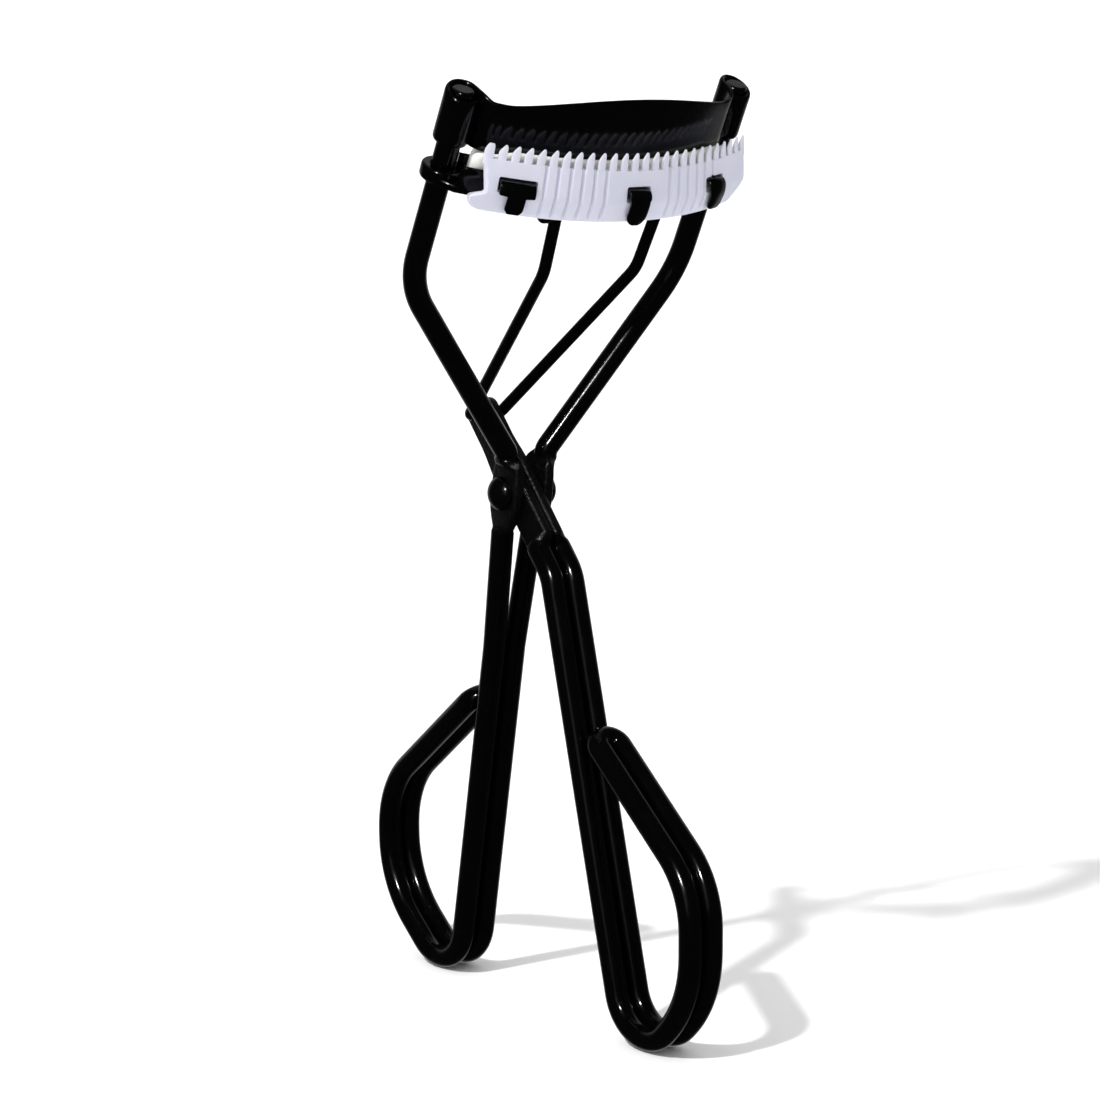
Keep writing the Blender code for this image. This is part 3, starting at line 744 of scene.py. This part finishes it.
def make_push_wire(enamel):
    lug = at_post(0.0, LUG_S, LINK_TOP_N)
    half = [
        (Vector((0.0, EYE.y, EYE.z)), 0.0),
        (Vector((LINK_EYE_X, EYE.y, EYE.z)), LINK_CORNER_R),
        (at_pivot(*LINK_BEND), LINK_BEND_R),
        (Vector((LINK_TOP_X, lug.y, lug.z)), LINK_CORNER_R),
        (Vector((LINK_END_X, lug.y, lug.z)), 0.0),
    ]
    near_end = LINK_END_X - 1.4 * LINK_END_ROUND
    right = dense(filleted(half, math.radians(6.0)), lambda point: 0.05 if point.x > near_end else 1.0)
    left = [Vector((-point.x, point.y, point.z)) for point in reversed(right[1:])]
    path = left + right
    rings = []
    normal = None
    for point, along in zip(path, tangents(path)):
        if normal is None:
            normal = along.orthogonal().normalized()
        normal = (normal - along * normal.dot(along)).normalized()
        side = along.cross(normal)
        radius = LINK_R - end_shrink(LINK_END_X - abs(point.x), LINK_END_ROUND)
        rings.append([point + normal * u + side * v for u, v in oblong(radius, radius, radius, 6)])
    obj = body("wire_push", skin(rings))
    mark(obj, "pressed", lambda point: 0.0)
    return finish_piece(obj, "push_wire", enamel)


# ---------------------------------------------------------------- upper jaw


def plate_top(x):
    """The upper jaw's top edge: crowned in the middle, dipped near the rolls, level over them."""
    crown = PLATE_DIP + PLATE_CROWN * max(0.0, 1.0 - (x / PLATE_DIP_X) ** 2) ** 1.3
    return crown + (ROLL_TOP - PLATE_DIP) * ramp(abs(x), *ROLL_RAMP_X)


def plate_line():
    """The plate's middle line as (x, n, half thickness, drop of the top): arc, S-bend and roll."""
    radius = PLATE_N - ARC_CENTRE_N
    edge = math.asin(PLATE_ARC_X / radius)
    half = []
    for i in range(30):
        angle = edge * i / 30
        x, n = radius * math.sin(angle), ARC_CENTRE_N + radius * math.cos(angle)
        half.append((x, n, PLATE_HALF_THICK, 0.0))
    start = Vector((radius * math.sin(edge), ARC_CENTRE_N + radius * math.cos(edge)))
    heading = Vector((math.cos(edge), -math.sin(edge)))
    finish = Vector((POST_X - ROLL_R, 0.0))
    first = start + heading * S_BEND_REACH[0]
    last = finish + Vector((0.0, S_BEND_REACH[1]))
    for i in range(26):
        t = i / 26
        u = 1.0 - t
        point = start * u**3 + first * (3 * u * u * t) + last * (3 * u * t * t) + finish * t**3
        thick = PLATE_HALF_THICK + (ROLL_HALF_THICK - PLATE_HALF_THICK) * t
        half.append((point.x, point.y, thick, 0.0))
    for i in range(65):
        angle = math.pi + ROLL_TURN * i / 64
        drop = ROLL_DROP * ramp(i / 64, 0.22, 0.85)
        x, n = POST_X + ROLL_R * math.cos(angle), ROLL_R * math.sin(angle)
        half.append((x, n, ROLL_HALF_THICK, drop))
    return [(-x, n, thick, drop) for x, n, thick, drop in reversed(half[1:])] + half


def make_plate(enamel, rows=7, edge_steps=6):
    line = plate_line()
    rings = []
    for i, (x, n, thick, drop) in enumerate(line):
        before = line[max(i - 1, 0)]
        after = line[min(i + 1, len(line) - 1)]
        ahead = Vector((after[0] - before[0], after[1] - before[1])).normalized()
        side = Vector((-ahead.y, ahead.x))
        rolled = ramp(abs(x), *ROLL_RAMP_X)
        foot_edge = thick + ROLL_FOOT_ROUND * rolled
        top_edge = thick + ROLL_TOP_ROUND * rolled
        low, high = PLATE_FOOT + foot_edge, plate_top(x) - drop - top_edge
        heights = [low + (high - low) * row / (rows - 1) for row in range(rows)]
        turns = [math.pi * step / edge_steps for step in range(1, edge_steps)]
        ring = [(thick, s) for s in heights]
        ring += [(thick * math.cos(turn), high + top_edge * math.sin(turn)) for turn in turns]
        ring += [(-thick, s) for s in reversed(heights)]
        ring += [(-thick * math.cos(turn), low - foot_edge * math.sin(turn)) for turn in turns]
        rings.append([at_post(x + side.x * off, s, n + side.y * off) for off, s in ring])
    obj = body("jaw_plate", skin(rings))
    mark(obj, "pressed", lambda point: 0.0)
    return finish_piece(obj, "upper_jaw_plate", enamel)


# ---------------------------------------------------------------- lower jaw


def arc_xn(angle, n):
    radius = n - ARC_CENTRE_N
    return Vector((radius * math.sin(angle), ARC_CENTRE_N + radius * math.cos(angle)))


def sheet_from_outline(name, outline, foot, top, round_r, steps=4):
    """A flat sheet with rounded edges, from a closed (x, n) outline extruded along the posts."""
    count = len(outline)
    outward = []
    for i in range(count):
        ahead = (outline[(i + 1) % count] - outline[i - 1]).normalized()
        outward.append(Vector((ahead.y, -ahead.x)))
    area = sum(a.x * b.y - b.x * a.y for a, b in zip(outline, outline[1:] + outline[:1]))
    if area < 0.0:
        outward = [-direction for direction in outward]
    rings = []
    for s_edge, sign in ((foot + round_r, -1.0), (top - round_r, 1.0)):
        for step in range(steps + 1):
            turn = math.pi / 2.0 * (1.0 - step / steps if sign < 0.0 else step / steps)
            inset = round_r * (1.0 - math.cos(turn))
            s = s_edge + sign * round_r * math.sin(turn)
            ring = [(p.x - d.x * inset, p.y - d.y * inset) for p, d in zip(outline, outward)]
            rings.append([at_post(x, s, n) for x, n in ring])
    return body(name, skin(rings))


def floor_outline():
    """The channel's floor with an eyelet at each end: one stamped shape, symmetric in x."""
    rear = [arc_xn(CHANNEL_ANGLE * i / 24, REAR_IN) for i in range(25)]
    eyelet = []
    for i in range(33):
        turn = math.radians(FLOOR_EYELET_ARC[0] + FLOOR_EYELET_ARC[1] * i / 32)
        eyelet.append(Vector((POST_X + FLOOR_EYELET_R * math.cos(turn), FLOOR_EYELET_R * math.sin(turn))))
    front = [arc_xn(WING_ANGLE * (1.0 - i / 26), WALL_OUT) for i in range(27)]
    half = rear + eyelet + front
    return half + [Vector((-point.x, point.y)) for point in reversed(half[1:-1])]


def arc_wall(name, inner, outer, limit, top_at, steps=90):
    """A wall on the jaw's arc with a rounded top edge whose height follows the angle."""
    rings = []
    half = (outer - inner) / 2.0
    middle = (outer + inner) / 2.0
    foot = FLOOR_FOOT + WALL_ROOT
    for i in range(steps + 1):
        angle = limit * (2.0 * i / steps - 1.0)
        top = top_at(abs(angle))
        ring = []
        for row in range(4):
            ring.append((foot + (top - half - foot) * row / 3.0, middle + half))
        for step in range(1, 6):
            turn = math.pi * step / 6.0
            ring.append((top - half + half * math.sin(turn), middle + half * math.cos(turn)))
        for row in reversed(range(4)):
            ring.append((foot + (top - half - foot) * row / 3.0, middle - half))
        placed = []
        for s, n in ring:
            flat = arc_xn(angle, n)
            placed.append(at_post(flat.x, s, flat.y))
        rings.append(placed)
    return body(name, skin(rings))


def front_wall_top(angle):
    drop = ramp(angle, math.radians(29.0), WING_ANGLE)
    return WALL_TOP + (EYELET_TOP - WALL_TOP) * drop


def strip(name, along, path, width_at, half_thick=TAB_HALF_THICK, ends_round=0.2):
    """A bent sheet-metal strip: path is (s, n) points, and the width follows the distance along it."""
    points = [Vector(point) for point in path]
    distances = [0.0]
    for a, b in zip(points, points[1:]):
        distances.append(distances[-1] + (b - a).length)
    total = distances[-1]
    rings = []
    for i, (point, distance) in enumerate(zip(points, distances)):
        before = points[max(i - 1, 0)]
        after = points[min(i + 1, len(points) - 1)]
        ahead = (after - before).normalized()
        normal = Vector((-ahead.y, ahead.x))
        left, right = width_at(distance, total)
        thick = half_thick - end_shrink(total - distance, min(ends_round, half_thick * 0.9))
        middle, half_wide = (left + right) / 2.0, (right - left) / 2.0
        ring = []
        for u, v in oblong(max(half_wide, 0.05), thick, min(thick, 0.18, half_wide), 3):
            spot = point + normal * v
            ring.append(on_arc(along, spot.x, spot.y, middle + u))
        rings.append(ring)
    return body(name, skin(rings))


def smooth_points(points, closed=False, rounds=2):
    """Rounds a line of points by cutting its corners. An open line keeps its two ends."""
    points = [Vector(point) for point in points]
    for _ in range(rounds):
        following = points[1:] + points[:1] if closed else points[1:]
        cut = []
        for a, b in zip(points, following):
            cut += [a.lerp(b, 0.25), a.lerp(b, 0.75)]
        points = cut if closed else [points[0]] + cut + [points[-1]]
    return points


def even_steps(points, gap):
    result = [points[0]]
    for a, b in zip(points, points[1:]):
        count = max(1, math.ceil((b - a).length / gap))
        result += [a.lerp(b, (i + 1) / count) for i in range(count)]
    return result


def tab_path(foot):
    """Out of the wall's top through the comb's window, then down over the comb's front to foot."""
    corners = [(14.4, 7.55), (15.35, 7.6), (15.5, 8.4), (15.47, 9.6), (15.3, 10.15), (14.7, 10.45)]
    corners += [(14.1, 10.58), (13.2, 10.52), (foot, 10.43)]
    return even_steps(smooth_points(corners), 0.12)


def left_tab_width(distance, total):
    """A wide bar at the window, stepping to a narrow stem with a chamfered end."""
    from_end = total - distance
    half = LEFT_TAB_STEM + (LEFT_TAB_BAR - LEFT_TAB_STEM) * ramp(from_end, *LEFT_TAB_STEP)
    if from_end < LEFT_TAB_CHAMFER:
        half -= (LEFT_TAB_CHAMFER - from_end) * 0.8
    return -half, half


def middle_tab_width(distance, total):
    """A plain stem with a full round end, and small ears where it leaves the window."""
    from_end = total - distance
    half = MIDDLE_TAB_STEM + MIDDLE_TAB_EAR * ramp(from_end, *MIDDLE_TAB_STEP)
    if from_end < half:
        half = max(0.12, math.sqrt(half**2 - (half - from_end) ** 2))
    return -half, half


def right_tab_width(distance, total):
    """A stem that narrows towards a rounded end."""
    from_end = total - distance
    half = RIGHT_TAB_STEM + RIGHT_TAB_WIDER * ramp(from_end, *RIGHT_TAB_TAPER)
    half -= end_shrink(from_end, RIGHT_TAB_END_R)
    return -half, half


def eyelet_boss(name, side):
    """The raised collar about a post."""
    turns = [2.0 * math.pi * i / 64 for i in range(64)]
    circle = [Vector((side * POST_X + EYELET_R * math.cos(t), EYELET_R * math.sin(t))) for t in turns]
    return sheet_from_outline(name, circle, EYELET_FOOT - 0.15, EYELET_TOP, EYELET_EDGE_R)


def lug(name, side):
    """An ear under the floor, with a round end about the push wire's eye."""
    root = FLOOR_FOOT + LUG_ROOT
    outline = [Vector((root, LUG_N - LUG_R)), Vector((root, LUG_N + 0.6))]
    outline.append(Vector((FLOOR_FOOT - 0.1, LUG_N + 1.1)))
    for i in range(25):
        turn = math.pi / 6.0 - (math.pi + math.pi / 6.0) * i / 24
        outline.append(Vector((LUG_S + LUG_R * math.sin(turn), LUG_N + LUG_R * math.cos(turn))))
    centre = Vector((LUG_S, LUG_N))
    rings = []
    for x, inset in [(-x, inset) for x, inset in LUG_EDGE] + list(reversed(LUG_EDGE)):
        ring = []
        for point in outline:
            inward = (centre - point).normalized() * inset
            ring.append(at_post(side * LUG_X + x, point.x + inward.x, point.y + inward.y))
        rings.append(ring)
    return body(name, skin(rings))


def make_channel(enamel):
    obj = sheet_from_outline("jaw_channel", floor_outline(), FLOOR_FOOT, FLOOR_TOP, SHEET_EDGE_R)
    left_foot, middle_foot, right_foot = TAB_FEET
    parts = [
        arc_wall("front_wall", WALL_IN, WALL_OUT, WING_ANGLE - 0.004, front_wall_top),
        arc_wall("rear_wall", REAR_IN, REAR_OUT, REAR_WING_ANGLE, lambda angle: WALL_TOP),
        eyelet_boss("left_eyelet", -1.0),
        eyelet_boss("right_eyelet", 1.0),
        strip("left_tab", LEFT_TAB, tab_path(left_foot), left_tab_width),
        strip("middle_tab", 0.0, tab_path(middle_foot), middle_tab_width),
        strip("right_tab", RIGHT_TAB, tab_path(right_foot), right_tab_width),
        lug("left_lug", -1.0),
        lug("right_lug", 1.0),
    ]
    for part in parts:
        combine(obj, [part], "UNION")
    holes = []
    turns = [2.0 * math.pi * i / 48 for i in range(48)]
    circle = [(EYELET_HOLE_R * math.cos(t), EYELET_HOLE_R * math.sin(t)) for t in turns]
    for side in (-1.0, 1.0):
        rings = []
        for s in (FLOOR_FOOT - 1.0, EYELET_TOP + 1.0):
            rings.append([at_post(side * POST_X + x, s, n) for x, n in circle])
        holes.append(body("post_hole", skin(rings)))
    holes.append(rod_along_x("lug_hole", at_post(0.0, LUG_S, LUG_N), LUG_HOLE_R, 10.0))
    combine(obj, holes, "DIFFERENCE")
    mark(obj, "pressed", lambda point: 0.04)
    return finish_piece(obj, "lower_jaw_channel", enamel, 40.0)


def make_pad(silicone):
    """A moulded bar with round ends and a crowned top, dented where the plate's edge rests."""
    outline = [(PAD_FOOT, -0.75), (PAD_FOOT, 0.75), (PAD_FOOT + 0.35, 1.05), (PAD_FOOT + 1.2, 1.18)]
    lip = [(1.6, PAD_HALF_WIDE), (0.7, PAD_HALF_WIDE), (0.25, 1.15), (0.02, 0.98), (0.0, 0.76)]
    dent = [(0.1, 0.52), (0.38, 0.38)]
    profile = lip + dent + [(0.42, 0.0)] + [(down, -n) for down, n in reversed(lip + dent)]
    outline += [(PAD_TOP - down, n) for down, n in profile]
    outline += [(PAD_FOOT + 1.2, -1.18), (PAD_FOOT + 0.35, -1.05)]
    points = smooth_points(outline, closed=True)
    radius = PAD_N - ARC_CENTRE_N
    straight = PAD_ANGLE * radius - PAD_END_R
    stations = [(straight * (i / 40.0), 0.0) for i in range(41)]
    stations += [(straight + PAD_END_R * math.sin(math.pi / 2.0 * i / 10), i / 10) for i in range(1, 11)]
    half = []
    for distance, t in stations:
        shrink = PAD_END_R * (1.0 - math.cos(math.pi / 2.0 * t)) if t else 0.0
        narrow = max(0.12, 1.0 - shrink / (PAD_HALF_WIDE + 0.15))
        low = max(0.4, 1.0 - shrink / 2.1)
        half.append((distance, narrow, low))
    ends = [(-distance, narrow, low) for distance, narrow, low in reversed(half[1:])] + half
    middle_s = (PAD_FOOT + PAD_TOP) / 2.0
    rings = []
    for distance, narrow, low in ends:
        angle = distance / radius
        ring = []
        mid_jaw = 1.0 - ramp(abs(distance), straight - 3.5, straight - 0.5)
        for point in points:
            flat = arc_xn(angle, PAD_N + point.y * narrow)
            front_top = ramp(point.y, 0.3, 0.6) * ramp(point.x, PAD_TOP - 1.2, PAD_TOP - 0.1)
            s = middle_s + (point.x - middle_s) * low + PAD_LIP * front_top * mid_jaw
            ring.append(at_post(flat.x, s, flat.y))
        rings.append(ring)
    obj = body("pad", skin(rings))
    finish_piece(obj, "silicone_pad", silicone, 60.0)
    return obj


# ---------------------------------------------------------------- lash comb


def comb_front(s):
    """How far out the comb's front is at height s: out to the kink, then back in to its foot."""
    if s >= COMB_KINK_S:
        return COMB_KINK_N - (s - COMB_KINK_S) * (COMB_KINK_N - COMB_TIP_N) / (COMB_TIP - COMB_KINK_S)
    return COMB_KINK_N - (COMB_KINK_S - s) * (COMB_KINK_N - COMB_FOOT_N) / (COMB_KINK_S - COMB_FOOT)


def soft_front(s, reach=0.35):
    """The front with its kink rounded, by averaging over a short height."""
    return (comb_front(s - reach) + 2.0 * comb_front(s) + comb_front(s + reach)) / 4.0


def groove(along, s):
    """The depth of the shallow grooves that run down from the slots on each side of the middle."""
    depth = 0.0
    for k in range(FIRST_GROOVE, LAST_GROOVE + 1):
        gap = (abs(along) - k * TOOTH_PITCH) / GROOVE_HALF_WIDE
        if abs(gap) < 1.0:
            depth = max(depth, GROOVE_DEEP * (1.0 - gap * gap) ** 2)
    return depth * ramp(s, COMB_FOOT + 0.1, COMB_FOOT + 0.7)


def comb_end(s, side):
    """The comb's reach along the arc at height s: the left edge is notched, the right foot cut back."""
    if side > 0.0:
        return COMB_END - COMB_BEVEL * (1.0 - ramp(s, COMB_FOOT - 0.6, COMB_KINK_S + 0.6))
    for (s_low, low), (s_high, high) in zip(COMB_LEFT_EDGE, COMB_LEFT_EDGE[1:]):
        if s <= s_high:
            return low + (high - low) * ramp(s, s_low, s_high)
    return COMB_LEFT_EDGE[-1][1]


def comb_thick(s):
    return COMB_THICK - COMB_TOP_THINNER * ramp(s, 15.5, 17.3)


def make_comb_band(column_gap=0.085, rows=26):
    """The band without its teeth: a grid of columns along the arc, each a closed section."""
    heights = [COMB_FOOT + (COMB_SLOT_FOOT - COMB_FOOT) * i / (rows - 1) for i in range(rows)]
    columns = math.ceil(COMB_END / column_gap)
    rings = []
    for i in range(-columns, columns + 1):
        t = i / columns
        outer, inner = [], []
        for s in heights:
            stretch = ramp(abs(t), *COMB_STRETCH)
            along = t * (COMB_END + (comb_end(s, t) - COMB_END) * stretch)
            front = soft_front(s)
            edge = COMB_EDGE[0] * (1.0 - ramp(comb_end(s, t) - abs(along), 0.0, COMB_EDGE[1]))
            foot_edge = COMB_FOOT_EDGE[0] * (1.0 - ramp(s, COMB_FOOT, COMB_FOOT + COMB_FOOT_EDGE[1]))
            outer.append(on_arc(along, s, front - groove(along, s) - edge - foot_edge))
            inner.append(on_arc(along, s, front - comb_thick(s) + edge + foot_edge))
        rings.append(outer + list(reversed(inner)))
    return body("comb", skin(rings))


def tooth_sides(s, half, blunt):
    """A tooth's left and right edges at height s: pointed towards the right, or broad where blunt."""
    t = min(1.0, max(0.0, (s - TOOTH_SHOULDER) / (COMB_TIP - TOOTH_SHOULDER)))
    if blunt:
        return -half + 0.7 * half * t**2.0, half - 0.12 * t**6
    tip_left, tip_right = TOOTH_TIP
    return -half + (half + tip_left) * t**1.6, half - (half - tip_right) * t**6


def make_tooth(centre, half, tip_drop, blunt=False):
    rings = []
    steps = 22
    low = COMB_SLOT_FOOT - TOOTH_ROOT
    for i in range(steps + 1):
        t = i / steps
        s = low + (COMB_TIP - low) * (1.0 - (1.0 - t) ** 1.5)
        left, right = tooth_sides(s, half, blunt)
        placed_s = s - tip_drop * ramp(s, COMB_SLOT_FOOT, COMB_TIP)
        front = soft_front(placed_s)
        deep = comb_thick(placed_s) - TOOTH_TIP_THINNER * ramp(s, COMB_SLOT_FOOT, COMB_TIP)
        half_wide = max(0.035, (right - left) / 2.0)
        half_deep = deep / 2.0 - 2.0 * TOOTH_SET_BACK
        middle = centre + (left + right) / 2.0
        ring = []
        for u, v in oblong(half_wide, half_deep, min(half_wide, half_deep, TOOTH_ROUND_R), 4):
            ring.append(on_arc(middle + u, placed_s, front - TOOTH_SET_BACK - half_deep + v))
        rings.append(ring)
    return body("tooth", skin(rings))


def block_on_arc(name, along, width, foot, top, n_in, n_out, round_r=0.25):
    """A block with rounded edges, to cut a window."""
    rings = []
    for n in (n_in, n_out):
        ring = []
        for u, v in oblong(width / 2.0, (top - foot) / 2.0, round_r, 5):
            ring.append(on_arc(along, (foot + top) / 2.0 + v, n, u))
        rings.append(ring)
    return body(name, skin(rings))


def make_comb(plastic):
    obj = make_comb_band()
    half = (TOOTH_PITCH - SLOT_WIDE) / 2.0
    teeth = []
    for k in range(-SLOTS_EACH_SIDE, SLOTS_EACH_SIDE):
        centre = (k + 0.5) * TOOTH_PITCH
        teeth.append(make_tooth(centre, half, END_TOOTH_DROP * (centre / COMB_END) ** 2))
    first = SLOTS_EACH_SIDE * TOOTH_PITCH + SLOT_WIDE / 2.0
    for side, end in ((-1.0, COMB_END + END_TOOTH_WIDER), (1.0, COMB_END)):
        end_half = (end - first) / 2.0
        centre = side * (first + end_half)
        teeth.append(make_tooth(centre, end_half, END_TOOTH_DROP, blunt=side < 0.0))
    combine(obj, teeth, "UNION")
    windows = [
        block_on_arc("window", along, wide, WINDOW_FOOT, WINDOW_TOP, 7.0, 11.5)
        for along, wide in zip((LEFT_TAB, 0.0, RIGHT_TAB), WINDOW_WIDE)
    ]
    combine(obj, windows, "DIFFERENCE")
    return finish_piece(obj, "lash_comb", plastic, 38.0)


# ---------------------------------------------------------------- studio


def make_floor():
    """A paper sweep: flat under the curler, curving up far behind the camera's view."""
    profile = [(-3.0, 0.0), (SWEEP_Y, 0.0)]
    for i in range(1, 17):
        turn = math.pi / 2.0 * i / 16
        profile.append((SWEEP_Y + SWEEP_R * math.sin(turn), SWEEP_R * (1.0 - math.cos(turn))))
    profile.append((SWEEP_Y + SWEEP_R, 4.0))
    shape = bmesh.new()
    rows = []
    for side in (-4.0, 4.0):
        rows.append([shape.verts.new((side, y, z)) for y, z in profile])
    for a, b, c, d in zip(rows[0], rows[0][1:], rows[1][1:], rows[1]):
        shape.faces.new((a, d, c, b))
    shape.transform(Matrix.Rotation(VIEW_TURN, 4, "Z"))
    floor = body("floor", shape)
    floor.data.shade_smooth()
    floor.data.materials.append(floor_material())
    floor.visible_glossy = False
    return floor


def make_world():
    """Even white light on matt surfaces. Gloss mirrors a dark room with a pale backdrop behind."""
    world = bpy.data.worlds.new("studio")
    bpy.context.scene.world = world
    world.use_nodes = True
    nodes, links = world.node_tree.nodes, world.node_tree.links
    background = nodes["Background"]
    background.inputs["Color"].default_value = (1.0, 1.0, 1.0, 1.0)
    facing = nodes.new("ShaderNodeVectorMath")
    facing.operation = "DOT_PRODUCT"
    facing.inputs[1].default_value = BACKDROP
    links.new(nodes.new("ShaderNodeTexCoord").outputs["Generated"], facing.inputs[0])
    mirrored = add_range(nodes, links, facing.outputs["Value"], 0.5, 0.97, 0.02, 0.55)
    strength = nodes.new("ShaderNodeMix")
    links.new(nodes.new("ShaderNodeLightPath").outputs["Is Glossy Ray"], strength.inputs["Factor"])
    strength.inputs["A"].default_value = 0.755
    links.new(mirrored, strength.inputs["B"])
    links.new(strength.outputs["Result"], background.inputs["Strength"])


def aim(obj, target):
    direction = Vector(target) - obj.location
    obj.rotation_euler = direction.to_track_quat("-Z", "Y").to_euler()


def add_area(name, location, target, width, height, watts):
    data = bpy.data.lights.new(name, "AREA")
    data.shape = "RECTANGLE"
    data.size = width
    data.size_y = height
    data.energy = watts
    lamp = bpy.data.objects.new(name, data)
    lamp.location = location
    bpy.context.scene.collection.objects.link(lamp)
    aim(lamp, target)
    return lamp


def make_lights():
    key = bpy.data.lights.new("key", "SUN")
    key.energy = 2.4
    key.angle = math.radians(3.0)
    lamp = bpy.data.objects.new("key", key)
    lamp.location = (-0.617, -0.09, 0.781)
    lamp.visible_glossy = False
    bpy.context.scene.collection.objects.link(lamp)
    aim(lamp, (0.0, 0.0, 0.0))
    jaws = (0.0, -0.005, 0.06)
    for box in (
        add_area("key_box_low", (-0.372, -0.348, 0.35), jaws, 0.028, 0.026, 1.5),
        add_area("key_box_high", (-0.365, -0.34, 0.378), jaws, 0.02, 0.016, 0.7),
        add_area("sky_box", (0.1, 0.25, 0.75), jaws, 0.6, 0.6, 0.18),
        add_area("front_box", (-0.62, -0.5, 0.3), jaws, 0.3, 0.5, 0.12),
    ):
        box.visible_diffuse = False


def make_camera():
    """The view: 37 degrees round from the front, from just above the jaws."""
    data = bpy.data.cameras.new("camera")
    data.lens = 101.9
    data.sensor_width = 36.0
    data.clip_start = 0.01
    data.clip_end = 20.0
    camera = bpy.data.objects.new("camera", data)
    camera.location = (-0.1982, -0.26496, 0.10653)
    right = Vector((0.79833537, -0.60220609, -0.00290974))
    up = Vector((0.10288028, 0.1316229, 0.98594678))
    back = right.cross(up)
    camera.rotation_euler = Matrix((right, up, back)).transposed().to_euler()
    bpy.context.scene.collection.objects.link(camera)
    bpy.context.scene.camera = camera


def main():
    make_camera()
    make_world()
    make_lights()
    make_floor()
    bpy.context.scene.view_settings.view_transform = "Standard"
    enamel = enamel_material()
    make_frame(enamel)
    make_lever(enamel)
    make_rivet(enamel)
    make_push_wire(enamel)
    make_plate(enamel)
    make_channel(enamel)
    make_pad(silicone_material())
    make_comb(comb_material())


main()
